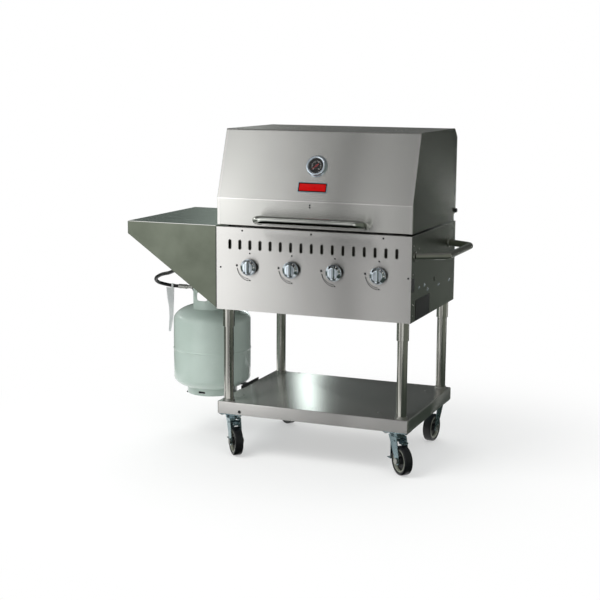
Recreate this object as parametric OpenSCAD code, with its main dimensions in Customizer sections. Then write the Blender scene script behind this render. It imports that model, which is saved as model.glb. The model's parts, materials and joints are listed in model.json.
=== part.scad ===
// Gas barbecue grill on a four-caster cart, with a side shelf and a hung gas cylinder.
// Millimetres. X to the right, Y to the back, Z up. The origin is on the floor, under the
// middle of the firebox.

/* [Cart] */
// Width of the firebox and of the lower shelf
box_w = 762; // [720:1:840]
// Depth of the firebox and of the lower shelf
box_d = 574; // [540:1:640]
// Height of the lower shelf's top face above the floor
shelf_top = 205.5; // [195:0.5:225]
// Depth of the lower shelf's folded edge
shelf_flange = 47.5; // [40:0.5:52]
// Outer corner radius of the lower shelf
shelf_corner_r = 6; // [3:0.5:10]
// Thickness of the sheet steel
sheet = 1.5; // [1:0.1:2]
// Outer diameter of a leg
leg_dia = 38; // [34:0.5:42]
// Wall of a leg tube
leg_wall = 1.5; // [1.2:0.1:2.5]
// From a leg's centre to the end face of the cart
leg_inset_x = 36; // [34:1:46]
// From a leg's centre to the front or rear face of the cart
leg_inset_y = 30; // [28:1:38]
// Length of the socket under the firebox that takes a leg
socket_len = 69; // [50:1:90]
// Wall of a leg socket
socket_wall = 3.3; // [2:0.1:4.5]
// Height of the collar at a leg's foot
collar_h = 8; // [5:0.5:14]
// Wall of a leg collar
collar_wall = 4; // [3:0.5:6]
// Width of a stiffening channel under the shelf
channel_w = 97; // [96:1:98]
// Shift of a channel from the swivel axes towards the middle
channel_shift = 2; // [1.5:0.5:3]
// Thickness of a stiffening channel
channel_t = 2; // [1.5:0.1:3]
// Diameter of the cable hole in the shelf's front edge
flange_hole_dia = 11; // [8:0.5:14]
// Place of the cable hole left of the middle
flange_hole_x = 288; // [260:1:310]
// Height of the cable hole above the shelf's lower edge
flange_hole_rise = 12; // [9:0.5:18]

/* [Casters] */
// Diameter of a wheel over its tyre
wheel_dia = 108; // [100:1:115]
// Width of a wheel
wheel_w = 32; // [28:1:36]
// Thickness of a tyre in the radial direction
tyre_t = 11; // [8:0.5:16]
// From the swivel axis to the wheel axis, level with the floor
trail = 38; // [34:1:42]
// From a swivel axis to the end face of the cart
caster_inset_x = 51; // [50:1:60]
// From a swivel axis to the front or rear face of the cart
caster_inset_y = 37; // [36:1:45]
// Length of a caster's top plate
plate_l = 95; // [90:1:98]
// Width of a caster's top plate
plate_w = 67; // [60:1:70]
// Thickness of a caster's top plate
plate_t = 4; // [3:0.5:5]
// Bolt spacing along the top plate
bolt_pitch_l = 75; // [72:1:78]
// Bolt spacing across the top plate
bolt_pitch_w = 45; // [42:1:48]
// Diameter of a caster bolt
bolt_dia = 8; // [6:0.5:9]
// Diameter of the swivel pin
kingpin_dia = 12; // [10:0.5:14]
// Diameter of the wheel axle
axle_dia = 12; // [10:0.5:14]
// Thickness of a fork's sheet
fork_t = 3; // [2:0.5:4]
// Side gap between a wheel and its fork
fork_gap = 3; // [2:0.5:5]
// Diameter of the brake's pivot pin
brake_pin_dia = 6; // [5:0.5:7]
// Heading of the front left wheel from the swivel axis, degrees
head_fl = -50; // [-180:1:180]
// Heading of the front right wheel from the swivel axis, degrees
head_fr = -43; // [-180:1:180]
// Heading of the rear left wheel from the swivel axis, degrees
head_rl = -35; // [-180:1:180]
// Heading of the rear right wheel from the swivel axis, degrees
head_rr = -97; // [-180:1:180]

/* [Firebox] */
// Height of the firebox's lower edge above the floor
box_z = 563; // [545:1:583]
// Height of the firebox
box_h = 312; // [300:1:330]
// Width of the flange along the firebox's top edges
top_flange = 30; // [26:1:36]
// Width of the flange under each end, which carries the legs
end_flange = 80; // [76:1:90]
// From the firebox's end faces to the liner's inside
liner_side_gap = 41; // [39:1:48]
// From the firebox's front face to the liner
liner_front_gap = 62; // [60:1:70]
// From the liner to the firebox's rear face
liner_rear_gap = 50; // [46:1:60]
// Height of the liner's floor above the firebox's lower edge
liner_floor_rise = 120; // [110:1:130]
// Height that the liner's rim stands above the firebox
liner_rim = 14; // [8:1:20]
// Height of the grate ledge above the liner's floor
grate_rise = 160; // [150:1:165]
// Thickness of the cooking grates
grate_t = 9; // [6:0.5:12]
// Number of grate sections side by side
grate_count = 3; // [2:1:4]
// Number of openings in one grate section
grate_slots = 13; // [9:1:15]
// Height of the heat plates' ledge above the liner's floor
heat_rise = 88; // [80:1:100]
// Width of a heat plate
heat_w = 120; // [100:1:140]
// Ridge height of a heat plate
heat_h = 26; // [20:1:34]
// Diameter of a burner tube
burner_dia = 38; // [34:1:42]
// Wall of a burner tube
burner_wall = 1.5; // [1.2:0.1:2]
// Length of the data plate on the right-hand end
data_plate_l = 174; // [150:1:180]
// Height of the data plate
data_plate_h = 74; // [60:1:80]
// From the firebox's front face to the data plate
data_plate_inset = 59; // [50:1:64]

/* [Drip tray] */
// Width of the drip tray
tray_w = 486; // [440:2:520]
// Length of the drip tray
tray_l = 480; // [440:5:485]
// Height of the drip tray
tray_h = 40; // [30:1:46]
// Height of the drip tray's floor above the firebox's lower edge
tray_rise = 20; // [18:1:26]
// Reach of the tray's pull behind the firebox
tray_pull = 13; // [10:1:20]

/* [Control panel] */
// From the panel's left edge to the first knob's axis
knob_margin_left = 136.25; // [130:0.25:142]
// From the last knob's axis to the panel's right edge
knob_margin_right = 120.25; // [115:0.25:126]
// Height of the knobs above the firebox's lower edge
knob_rise = 167; // [160:1:175]
// Diameter of a knob over its skirt
knob_dia = 62; // [56:1:68]
// Depth of a knob
knob_t = 32; // [28:1:36]
// Width of the grip bar across a knob
grip_w = 15; // [12:1:18]
// Gap between a knob and the panel
knob_gap = 4; // [3.5:0.5:6]
// Diameter of a valve stem
stem_dia = 8; // [6:0.5:9]
// Number of ventilation slots
slot_count = 17; // [13:1:17]
// From the panel's edges to the middles of the end slots
slot_margin = 55; // [50:0.5:62]
// Height of a ventilation slot
slot_h = 35; // [30:1:40]
// Width of a ventilation slot
slot_w = 10; // [8:0.5:12]
// Height of the slots' middle above the firebox's lower edge
slot_rise = 248; // [240:1:256]
// Outer diameter of the gas manifold
manifold_dia = 21.4; // [18:0.1:24]
// Drop of the manifold below the valves
manifold_drop = 26; // [25:1:30]

/* [Hood] */
// Gap between the firebox and the closed hood
hood_gap = 8; // [6:0.5:12]
// Width of the hood
hood_w = 761; // [714:1:835]
// From the hood's front face to the firebox's front face
hood_setback = 6; // [4:0.5:10]
// Height of the hood
hood_h = 352; // [320:1:380]
// Height of the upright part of the hood's front
hood_front_h = 99; // [80:1:120]
// Depth that the hood's front slopes back
hood_slope = 88; // [70:1:120]
// From the hood's rear face to the firebox's rear face
hood_rear_setback = 4; // [3:0.5:6]
// Depth of the folded rear top edge
hood_rear_run = 36; // [20:1:50]
// Drop of the folded rear top edge
hood_rear_drop = 33; // [20:1:50]
// Height of the opening left under the hood's rear wall
hood_vent_h = 48; // [46:1:60]
// Height of the hinge axis above the hood's lower edge
hinge_rise = 34; // [30:1:36]
// From the hinge axis to the hood's rear face
hinge_inset = 7; // [6:0.5:8]
// Diameter of a hinge pin
hinge_pin_dia = 10; // [8:0.5:11]
// Distance between the arms of the hood handle
hood_handle_span = 412; // [360:1:460]
// Reach of the hood handle from the hood's face
hood_handle_reach = 62; // [50:1:75]
// Diameter of the hood handle
hood_handle_dia = 30; // [24:1:32]
// Height of the handle's arms above the hood's lower edge
hood_handle_rise = 20; // [18:1:60]
// Upward tilt of the hood handle, degrees
hood_handle_tilt = 11; // [0:1:20]
// Height of the gauge above the hood's lower edge
gauge_rise = 225; // [200:1:240]
// Diameter of the gauge over its bezel
gauge_dia = 78; // [70:1:86]
// Diameter of the gauge's window
gauge_window = 54; // [48:1:58]
// Depth of the gauge case in front of the hood
gauge_t = 14; // [12:1:18]
// Height of the badge above the hood's lower edge
badge_rise = 149; // [140:1:155]
// Width of the badge
badge_w = 116; // [100:1:130]
// Height of the badge
badge_h = 40; // [34:1:44]

/* [Side handle] */
// Height of the side handle above the firebox's lower edge
side_handle_rise = 237; // [220:1:250]
// Distance between the side handle's feet
side_handle_span = 444; // [400:1:470]
// Length of the side handle's grip between its corners
side_handle_grip = 320; // [280:1:360]
// Reach of the side handle from the firebox
side_handle_reach = 103; // [90:1:130]
// Diameter of the side handle
side_handle_dia = 25; // [22:0.5:28]
// Shift of the side handle towards the front
side_handle_shift = 22; // [10:1:30]

/* [Side shelf] */
// Reach of the side shelf from the firebox
side_shelf_w = 377; // [340:1:400]
// Depth of the side shelf's outer edge
side_shelf_edge = 49; // [40:1:60]
// Height of the side shelf's top above the firebox's top
side_shelf_lift = 4; // [0:0.5:5]

/* [Gas] */
// Radius of the gas cylinder
cyl_r = 155.5; // [150:0.5:158]
// Wall of the gas cylinder
cyl_wall = 2.6; // [2:0.1:4]
// From the cylinder's axis to the cart's left end
cyl_gap = 169; // [165:1:185]
// Shift of the cylinder's axis behind the middle
cyl_y = 24; // [0:1:40]
// Height of the foot ring's lower edge above the floor
cyl_z = 159; // [157:1:173]
// Height of the straight part's lower end above the foot ring's lower edge
cyl_wall_rise = 68; // [60:1:80]
// Height of the straight part
cyl_wall_h = 231; // [215:1:240]
// Height of the cylinder's dome
dome_h = 68; // [60:1:74]
// Depth of the cylinder's lower end
bottom_h = 54; // [48:1:56]
// Length of the hanger plate on the cart's left end
hanger_l = 168; // [150:2:180]
// Width of the hanger's arm under the cylinder
hanger_arm_w = 90; // [80:2:110]
// Radius of the foot ring
ring_r = 101; // [96:1:106]
// Radius of the guard collar
guard_r = 100; // [94:1:106]
// Height of the guard collar's top above the dome's base
guard_top = 156; // [150:1:162]
// Thickness of the guard collar and the foot ring
guard_t = 2.6; // [2:0.1:4]
// Height of the valve outlet above the top of the dome
outlet_rise = 56; // [50:1:60]
// Diameter of the hose
hose_dia = 14; // [12:0.5:16]
// Width of the hose tag
tag_w = 34; // [30:1:40]
// Length of the hose tag
tag_l = 182; // [150:1:200]

/* [Fits] */
// Radial running clearance of pins and stems
run = 0.05; // [0.03:0.01:0.1]
// Gap between pieces that move past each other
gap = 0.4; // [0.3:0.05:0.6]
// Radial gap of plain assembled tubes
slip = 0.2; // [0.1:0.05:0.4]

/* [Hidden] */
$fn = 64;
eps = 1; // how far a cutter runs past the face it cuts

half_w = box_w / 2;
half_d = box_d / 2;
box_top = box_z + box_h;
shelf_bot = shelf_top - shelf_flange;
leg_x = half_w - leg_inset_x;
leg_y = half_d - leg_inset_y;
leg_r = leg_dia / 2;
leg_places = [for (sx = [-1, 1], sy = [-1, 1]) [sx * leg_x, sy * leg_y]];

// Casters
cast_x = half_w - caster_inset_x;
cast_y = half_d - caster_inset_y;
FL = [-cast_x, -cast_y, head_fl];
FR = [cast_x, -cast_y, head_fr];
RL = [-cast_x, cast_y, head_rl];
RR = [cast_x, cast_y, head_rr];
casters = [FL, FR, RL, RR];
wheel_r = wheel_dia / 2;
axle_r = axle_dia / 2;
king_r = kingpin_dia / 2;
bolt_r = bolt_dia / 2;
brake_pin_r = brake_pin_dia / 2;
plate_z = shelf_bot - plate_t;
race_r = 27;
race_h = 6;
race_z = plate_z - race_h;
crown_r = 29;
crown_z = race_z - 8;
crown_top = race_z - gap;
fork_in = wheel_w / 2 + fork_gap;
fork_out = fork_in + fork_t;
fork_back = -28;
fork_front = 30;
axle_boss_r = 15;
bolt_head_h = 4;
bolt_head_r = 6.5;
brake_x = 14;
brake_z = crown_z - 16;
brake_half_w = 12;
brake_t = 2.5;

// Firebox
panel_y = -half_d + sheet;
liner_y0 = -half_d + liner_front_gap;
liner_y1 = half_d - liner_rear_gap;
liner_z = box_z + liner_floor_rise;
liner_top = box_top + liner_rim;
liner_half_w = half_w - liner_side_gap;
lip_x = half_w - 10; // the liner's lip rests under the firebox's top flanges
lip_y0 = panel_y + top_flange;
lip_y1 = half_d - sheet - top_flange + 12;
drain_half = tray_w / 2 - 43; // the opening in the liner's floor, over the tray
ledge = 18;
grate_z = liner_z + grate_rise;
heat_z = liner_z + heat_rise;
knob_z = box_z + knob_rise;
knob_count = 4; // burners, valves and knobs, one to a node
knob_pitch = (box_w - knob_margin_left - knob_margin_right) / (knob_count - 1);
knob_xs = [for (i = [0:knob_count - 1]) knob_margin_left - half_w + i * knob_pitch];
burner_r = burner_dia / 2;
burner_y0 = liner_y0 - 14;
burner_y1 = liner_y1 - sheet - 20;
manifold_r = manifold_dia / 2;
manifold_y = panel_y + 23.5;
manifold_z = knob_z - manifold_drop;
manifold_x0 = -half_w - 19;
manifold_x1 = knob_xs[knob_count - 1] + 40;
valve_r = 12;
valve_y0 = panel_y + 4.5;
valve_y1 = valve_y0 + 30;
orifice_r = 4;
stem_r = stem_dia / 2;
stem_hole_r = stem_r + 3;
knob_r = knob_dia / 2;
knob_back = -half_d - knob_gap;
knob_front = knob_back - knob_t;
knob_neck_r = knob_r - 11;
knob_neck_t = 9;
skirt_t = 17;
hub_t = 21;
hub_r = knob_r - 9;
stem_y0 = knob_front + 10;
stem_y1 = valve_y0 + 19;
stem_bore_end = valve_y0 + 24;
slot_z = box_z + slot_rise;
slot_pitch = (box_w - 2 * slot_margin) / (slot_count - 1);

// Drip tray
tray_z = box_z + tray_rise;
tray_wall = 1;
tray_y1 = half_d - sheet;
tray_y0 = tray_y1 - tray_l;
rail_foot = 18;

// Hood
hood_y0 = -half_d + hood_setback;
hood_y1 = half_d - hood_rear_setback;
hood_z = box_top + hood_gap;
hood_top = hood_z + hood_h;
hood_half_w = hood_w / 2;
hood_tilt = atan(hood_slope / (hood_h - hood_front_h));
hinge_y = hood_y1 - hinge_inset;
hinge_z = hood_z + hinge_rise;
hinge_r = hinge_pin_dia / 2;
hinge_boss_r = 12;
ear_r = 11;
ear_x = half_w - 10;
ear_t = 3;
end_lip = 10;
hood_line = [
    [hood_y0, hood_z],
    [hood_y0, hood_z + hood_front_h],
    [hood_y0 + hood_slope, hood_top],
    [hood_y1 - hood_rear_run, hood_top],
    [hood_y1, hood_top - hood_rear_drop],
    [hood_y1, hood_z + hood_vent_h]
];
hood_corner = [hood_y1 - 33, hood_z];
hood_handle_r = hood_handle_dia / 2;
side_handle_r = side_handle_dia / 2;
gauge_r = gauge_dia / 2;
gauge_in_r = gauge_window / 2;
gauge_probe_r = 5;
gauge_floor = 4;
needle_z = gauge_floor + 2;
needle_pin_r = 1.5;
needle_t = 0.8;
lens_z = gauge_t - 3;
lens_t = 1.5;

// Side shelf
shelf2_x = -half_w - side_shelf_w;
shelf2_top = box_top + side_shelf_lift;

// Gas cylinder, hose and regulator
cyl_x = -half_w - cyl_gap;
wall_z0 = cyl_z + cyl_wall_rise;
wall_z1 = wall_z0 + cyl_wall_h;
dome_top = wall_z1 + dome_h;
neck_r = 20;
neck_top = dome_top + 5;
shank_r = 10;
valve_body_r = 14;
outlet_z = dome_top + outlet_rise;
valve_top = outlet_z + 14;
wheel_stem_r = 4;
guard_half_gap = 67;
hose_r = hose_dia / 2;
ring_top = wall_z0 - bottom_h * sqrt(1 - pow(ring_r / cyl_r, 2)) + 3;
reg_x = manifold_x0 - 40;
reg_r = 27;
reg_x0 = reg_x - 50;
ferrule_x = cyl_x - 150;
tag_place = [ferrule_x - 27, cyl_y - 1, outlet_z + 1];

// The tag's outline, curled and narrowing downwards, in shares of its width and length
tag_line = [[-0.8, 0], [-0.69, -0.24], [-0.48, -0.46], [-0.46, -0.66], [-0.52, -0.86], [-0.57, -1],
            [-0.3, -1], [-0.16, -0.86], [0.02, -0.66], [0.1, -0.42], [0.13, -0.2], [0.18, 0]];

// The hose's middle line, from the regulator to the fitting at the cylinder
hose_points = [
    [-490, -262, 704], [-508, -262, 704], [-530, -260, 702], [-550, -255, 699], [-569, -246, 694],
    [-587, -233, 688], [-605, -215, 681], [-626, -192, 673], [-650, -167, 665], [-676, -143, 658],
    [-702, -121, 650], [-726, -100, 640], [-744, -82, 631], [-756, -66, 623], [-764, -51, 615],
    [-768, -35, 607], [-768, -18, 599], [-762, -2, 593], [-752, 11, 588], [-738, 20, 584],
    [-720, 24, 582], [-700, 24, 582]
];

// ---- shapes used by several pieces ----

// A box given by its low and high corners
module block(lo, hi) {
    translate(lo) cube(hi - lo);
}

module round_rect(w, d, r) {
    square([w - 2 * r, d], center = true);
    square([w, d - 2 * r], center = true);
    for (sx = [-1, 1], sy = [-1, 1])
        translate([sx * (w / 2 - r), sy * (d / 2 - r)]) circle(r);
}

module pipe(r, wall, h) {
    difference() {
        cylinder(r = r, h = h);
        translate([0, 0, -eps]) cylinder(r = r - wall, h = h + 2 * eps);
    }
}

// A cylinder along +Y and one along +X
module rod_y(r, y0, y1) {
    translate([0, y0, 0]) rotate([-90, 0, 0]) cylinder(r = r, h = y1 - y0);
}

module rod_x(r, x0, x1) {
    translate([x0, 0, 0]) rotate([0, 90, 0]) cylinder(r = r, h = x1 - x0);
}

// A profile drawn in Y and Z, extruded from x0 to x1
module along_x(x0, x1) {
    translate([x0, 0, 0]) rotate([90, 0, 90]) linear_extrude(x1 - x0) children();
}

// A profile drawn in X and Z, extruded from y0 to y1
module along_y(y0, y1) {
    translate([0, y1, 0]) rotate([90, 0, 0]) linear_extrude(y1 - y0) children();
}

// The open line p moved d to its right side, with mitred corners
function unit(v) = v / norm(v);
function right_of(a, b) = let (u = unit(b - a)) [u[1], -u[0]];
function moved(p, d) = [for (i = [0:len(p) - 1])
    let (
        n0 = i == 0 ? right_of(p[0], p[1]) : right_of(p[i - 1], p[i]),
        n1 = i == len(p) - 1 ? n0 : right_of(p[i], p[i + 1])
    )
    p[i] + d * (n0 + n1) / (1 + n0 * n1)];
function reversed(p) = [for (i = [len(p) - 1:-1:0]) p[i]];

// A strip that follows the line p, between a and b to its right
module strip(p, a, b) {
    polygon(concat(moved(p, a), reversed(moved(p, b))));
}

// Half of a bent grab bar in the XY plane: it runs from its foot at [foot, 0] to the corner at
// [grip, -reach], and then towards the middle
module bent_half(foot, grip, reach, r, bend, root) {
    a = unit([grip - foot, -reach]);
    turn = acos(-a[0]);
    cut = bend * tan(turn / 2);
    arm = norm([grip - foot, reach]) - cut;
    heading = atan2(a[1], a[0]);
    translate([foot, 0, 0]) rotate([0, 0, heading]) rod_x(r, -root, arm);
    translate([foot, 0, 0] + arm * [a[0], a[1], 0] + bend * [a[1], -a[0], 0])
        rotate([0, 0, heading + 90 - turn])
            rotate_extrude(angle = turn) translate([bend, 0]) circle(r);
    translate([0, -reach, 0]) rod_x(r, -eps, grip - cut);
}

module bent_bar(span, grip, reach, r, bend, root) {
    bent_half(span / 2, grip / 2, reach, r, bend, root);
    mirror([1, 0, 0]) bent_half(span / 2, grip / 2, reach, r, bend, root);
}

// A local frame on a caster: X points from the swivel axis to the wheel, Y along the axle
module at_caster(c) {
    translate([c[0], c[1], 0]) rotate([0, 0, c[2]]) children();
}

// A local frame on the sloping front of the hood: Z points out, Y up the slope
module on_slope(x, rise) {
    up = rise - hood_front_h;
    translate([x, hood_y0 + up * tan(hood_tilt), hood_z + rise])
        rotate([90 - hood_tilt, 0, 0]) children();
}

// ---- cart ----

module lower_shelf() {
    color([0.62, 0.66, 0.63]) difference() {
        translate([0, 0, shelf_bot]) linear_extrude(shelf_flange)
            round_rect(box_w, box_d, shelf_corner_r);
        translate([0, 0, shelf_bot - eps]) linear_extrude(shelf_flange - sheet + eps)
            round_rect(box_w - 2 * sheet, box_d - 2 * sheet, shelf_corner_r - sheet);
        translate([-flange_hole_x, 0, shelf_bot + flange_hole_rise])
            rod_y(flange_hole_dia / 2, -half_d - eps, -half_d + sheet + eps);
    }
}

module shelf_stiffeners() {
    depth = half_d - sheet - 1;
    top = shelf_top - sheet;
    color([0.6, 0.62, 0.6]) for (s = [-1, 1]) difference() {
        x = s * (cast_x - channel_shift);
        block([x - channel_w / 2, -depth, shelf_bot], [x + channel_w / 2, depth, top]);
        block([x - channel_w / 2 + channel_t, -depth - eps, shelf_bot + channel_t],
              [x + channel_w / 2 - channel_t, depth + eps, top + eps]);
        for (sy = [-1, 1], bx = [-1, 1], by = [-1, 1])
            translate([s * cast_x + bx * bolt_pitch_l / 2, sy * cast_y + by * bolt_pitch_w / 2, shelf_bot - eps])
                cylinder(r = bolt_r + slip, h = channel_t + 2 * eps);
    }
}

module legs() {
    color([0.6, 0.58, 0.55]) for (p = leg_places)
        translate([p[0], p[1], shelf_top]) pipe(leg_r, leg_wall, box_z - shelf_top);
}

// The sockets at the tops of the legs and the collars at their feet
module leg_sockets() {
    r = leg_r + slip;
    color([0.62, 0.61, 0.58]) for (p = leg_places) translate([p[0], p[1], 0]) {
        translate([0, 0, box_z - socket_len]) pipe(r + socket_wall, socket_wall, socket_len);
        translate([0, 0, shelf_top]) pipe(r + collar_wall, collar_wall, collar_h);
    }
}

module caster_plates() {
    color([0.62, 0.68, 0.7]) for (c = casters) translate([c[0], c[1], 0]) difference() {
        union() {
            translate([0, 0, plate_z]) linear_extrude(plate_t) round_rect(plate_l, plate_w, 6);
            translate([0, 0, race_z]) cylinder(r = race_r, h = race_h + eps);
        }
        translate([0, 0, race_z - eps]) cylinder(r = king_r + run, h = race_h + plate_t + 2 * eps);
        for (bx = [-1, 1], by = [-1, 1])
            translate([bx * bolt_pitch_l / 2, by * bolt_pitch_w / 2, plate_z - eps])
                cylinder(r = bolt_r + slip, h = plate_t + 2 * eps);
    }
}

module caster_bolts() {
    nut_z = shelf_bot + channel_t;
    color([0.66, 0.7, 0.72]) for (c = casters, bx = [-1, 1], by = [-1, 1])
        translate([c[0] + bx * bolt_pitch_l / 2, c[1] + by * bolt_pitch_w / 2, 0]) {
            translate([0, 0, plate_z - bolt_head_h]) cylinder(r = bolt_head_r, h = bolt_head_h);
            translate([0, 0, plate_z - 1]) cylinder(r = bolt_r, h = nut_z - plate_z + 8);
            translate([0, 0, nut_z]) cylinder(r = bolt_head_r, h = 6, $fn = 6);
        }
}

module caster_fork(c, braked) {
    color([0.58, 0.66, 0.68]) at_caster(c) difference() {
        union() {
            translate([0, 0, crown_z]) cylinder(r = crown_r, h = crown_top - crown_z);
            translate([0, 0, crown_z]) cylinder(r = king_r, h = shelf_bot - crown_z - gap);
            block([fork_back, -fork_out, crown_z - fork_t], [fork_front, fork_out, crown_z]);
            for (s = [-1, 1]) translate([0, s > 0 ? 0 : -fork_in - fork_out, 0])
                along_y(fork_in, fork_out) {
                    polygon([[fork_back, crown_z], [fork_front, crown_z],
                             [trail + axle_boss_r, wheel_r], [trail - axle_boss_r, wheel_r]]);
                    translate([trail, wheel_r]) circle(axle_boss_r);
                }
        }
        translate([trail, 0, wheel_r]) rod_y(axle_r + run, -fork_out - eps, fork_out + eps);
        if (braked) translate([brake_x, 0, brake_z]) rod_y(brake_pin_r + run, -fork_out - eps, fork_out + eps);
    }
}

module caster_axle(c) {
    head = 7;
    color([0.7, 0.74, 0.76]) at_caster(c) translate([trail, 0, wheel_r]) {
        rod_y(axle_r, -fork_out, fork_out);
        for (s = [0, 180]) rotate([0, 0, s]) {
            rod_y(axle_r + 5, fork_out, fork_out + head);
            rod_y(axle_r + 3, wheel_w / 2 + gap, fork_in);
        }
    }
}

module caster_wheel(c) {
    rim_r = wheel_r - tyre_t;
    half = wheel_w / 2;
    edge = 5;
    boss_r = 15;
    web_r = rim_r - 6;
    color([0.12, 0.12, 0.13]) at_caster(c) translate([trail, 0, wheel_r]) rotate([90, 0, 0]) {
        rotate_extrude() polygon([
            [axle_r + run, -half], [boss_r, -half], [boss_r, -half / 3], [web_r, -half / 3],
            [web_r, -half + 3], [rim_r, -half + 3], [rim_r, half - 3], [web_r, half - 3],
            [web_r, half / 3], [boss_r, half / 3], [boss_r, half], [axle_r + run, half]
        ]);
        rotate_extrude() difference() {
            translate([rim_r + run, -half]) square([tyre_t - run, wheel_w]);
            for (s = [-1, 1]) difference() {
                translate([wheel_r - edge, s > 0 ? half - edge : -half]) square([edge + eps, edge]);
                translate([wheel_r - edge, s * (half - edge)]) circle(edge);
            }
        }
    }
}

module caster_brake(c) {
    pad_x = 32;
    lever_x = -28;
    lever_z = wheel_r - 10;
    color([0.5, 0.54, 0.54]) at_caster(c) {
        translate([brake_x, 0, brake_z]) {
            rod_y(brake_pin_r, -fork_out - 2, fork_out + 2);
            rod_y(5, -brake_half_w, brake_half_w);
        }
        block([lever_x - brake_t, -brake_half_w, brake_z - brake_t / 2],
              [60, brake_half_w, brake_z + brake_t / 2]);
        block([60 - brake_t, -brake_half_w, brake_z - 5], [60, brake_half_w, brake_z]);
        block([pad_x, -brake_half_w, brake_z - 7], [pad_x + 14, brake_half_w, brake_z]);
        block([lever_x - brake_t, -brake_half_w, lever_z], [lever_x, brake_half_w, brake_z]);
        block([lever_x - 26, -brake_half_w, lever_z], [lever_x, brake_half_w, lever_z + brake_t]);
    }
}

// ---- firebox ----

// A sheet flange along the front or rear, between the flanges of the end panels
module cross_flange(y0, y1, z, inset) {
    block([-half_w + inset + gap, y0, z], [half_w - inset - gap, y1, z + sheet]);
}

module vent_slot() {
    translate([0, (slot_h - slot_w) / 2]) circle(slot_w / 2);
    translate([0, -(slot_h - slot_w) / 2]) circle(slot_w / 2);
    square([slot_w, slot_h - slot_w], center = true);
}

module control_panel() {
    color([0.74, 0.73, 0.7]) {
        difference() {
            block([-half_w, -half_d, box_z], [half_w, panel_y, box_top]);
            for (i = [0:slot_count - 1])
                translate([slot_margin - half_w + i * slot_pitch, 0, slot_z])
                    along_y(-half_d - eps, panel_y + eps) vent_slot();
            for (x = knob_xs) translate([x, 0, knob_z]) rod_y(stem_hole_r, -half_d - eps, panel_y + eps);
        }
        cross_flange(panel_y - 0.5, panel_y + top_flange, box_top - sheet, top_flange);
        cross_flange(panel_y - 0.5, panel_y + top_flange, box_z, end_flange);
    }
}

// The right-hand panel; the left one is its mirror image
module end_panel() {
    block([half_w - sheet, panel_y, box_z], [half_w, half_d - sheet, box_top]);
    block([half_w - top_flange, panel_y, box_top - sheet], [half_w - sheet + 0.5, half_d - sheet, box_top]);
    block([half_w - end_flange, panel_y, box_z], [half_w - sheet + 0.5, half_d - sheet, box_z + sheet]);
    difference() {
        along_x(ear_x, ear_x + ear_t) {
            translate([hinge_y, hinge_z]) circle(ear_r);
            translate([hinge_y - ear_r, box_top - sheet / 2])
                square([2 * ear_r - 2, hinge_z - box_top + sheet / 2]);
        }
        translate([0, hinge_y, hinge_z]) rod_x(hinge_r + slip, ear_x - eps, ear_x + ear_t + eps);
    }
}

module side_panel_right() {
    color([0.34, 0.36, 0.34]) difference() {
        end_panel();
        translate([0, -half_d + 34, knob_z - 32])
            along_x(half_w - sheet - eps, half_w + eps) square([14, 38], center = true);
        translate([0, 6, knob_z - 46]) rod_x(9, half_w - sheet - eps, half_w + eps);
        translate([0, 13, box_top - 20]) along_x(half_w - sheet - eps, half_w + eps) square([3, 20], center = true);
    }
}

module side_panel_left() {
    color([0.4, 0.42, 0.4]) difference() {
        mirror([1, 0, 0]) end_panel();
        translate([0, manifold_y, manifold_z]) rod_x(manifold_r + slip, -half_w - eps, -half_w + sheet + eps);
    }
}

module back_panel() {
    inner = half_d - sheet;
    color([0.6, 0.6, 0.58]) {
        difference() {
            block([-half_w, inner, box_z], [half_w, half_d, box_top]);
            block([-tray_w / 2 - 8, inner - eps, tray_z - 6], [tray_w / 2 + 8, half_d + eps, tray_z + tray_h + 8]);
        }
        cross_flange(inner - top_flange + 6, inner + 0.5, box_top - sheet, top_flange);
        cross_flange(inner - top_flange, inner + 0.5, box_z, end_flange);
    }
}

module firebox_liner() {
    w = liner_half_w;
    color([0.42, 0.42, 0.41]) difference() {
        union() {
            block([-w - sheet, liner_y0, liner_z], [w + sheet, liner_y1, liner_top]);
            block([-lip_x, lip_y0, box_top - 2 * sheet], [lip_x, lip_y1, box_top - sheet]);
        }
        difference() {
            block([-w, liner_y0 + sheet, liner_z + sheet], [w, liner_y1 - sheet, liner_top + eps]);
            for (z = [grate_z, heat_z]) {
                block([-w - eps, liner_y0, z - sheet], [w + eps, liner_y0 + ledge, z]);
                block([-w - eps, liner_y1 - ledge, z - sheet], [w + eps, liner_y1, z]);
            }
        }
        block([-drain_half, liner_y0 + 80, liner_z - eps], [drain_half, liner_y1 - 60, liner_z + 2 * sheet]);
        for (x = knob_xs) translate([x, 0, knob_z]) rod_y(burner_r + slip, liner_y0 - eps, liner_y0 + sheet + eps);
    }
}

// The two rails that the drip tray slides on, hung under the liner
module tray_rails() {
    foot_z = tray_z - gap - sheet;
    color([0.45, 0.45, 0.44]) for (s = [-1, 1]) {
        x = s * (tray_w / 2 + gap + sheet / 2);
        block([x - sheet / 2, tray_y0, foot_z], [x + sheet / 2, liner_y1, liner_z]);
        block([min(x, x - s * rail_foot), tray_y0, foot_z], [max(x, x - s * rail_foot), liner_y1, foot_z + sheet]);
    }
}

module burners() {
    mouth = 12;
    stub = 6;
    color([0.55, 0.53, 0.5]) for (x = knob_xs) translate([x, 0, knob_z]) {
        difference() {
            rod_y(burner_r, burner_y0, burner_y1);
            rod_y(burner_r - burner_wall, burner_y0 + burner_wall, burner_y1 - burner_wall);
            rod_y(mouth, burner_y0 - eps, burner_y0 + 2 * burner_wall);
        }
        rod_y(stub, burner_y1 - eps, liner_y1 - sheet);
    }
}

module heat_plates() {
    line = [[-heat_w / 2, 0], [-4, heat_h], [4, heat_h], [heat_w / 2, 0]];
    color([0.5, 0.49, 0.47]) for (x = knob_xs) translate([x, 0, heat_z])
        along_y(liner_y0 + sheet + gap, liner_y1 - sheet - gap) strip(line, -sheet, 0);
}

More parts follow.
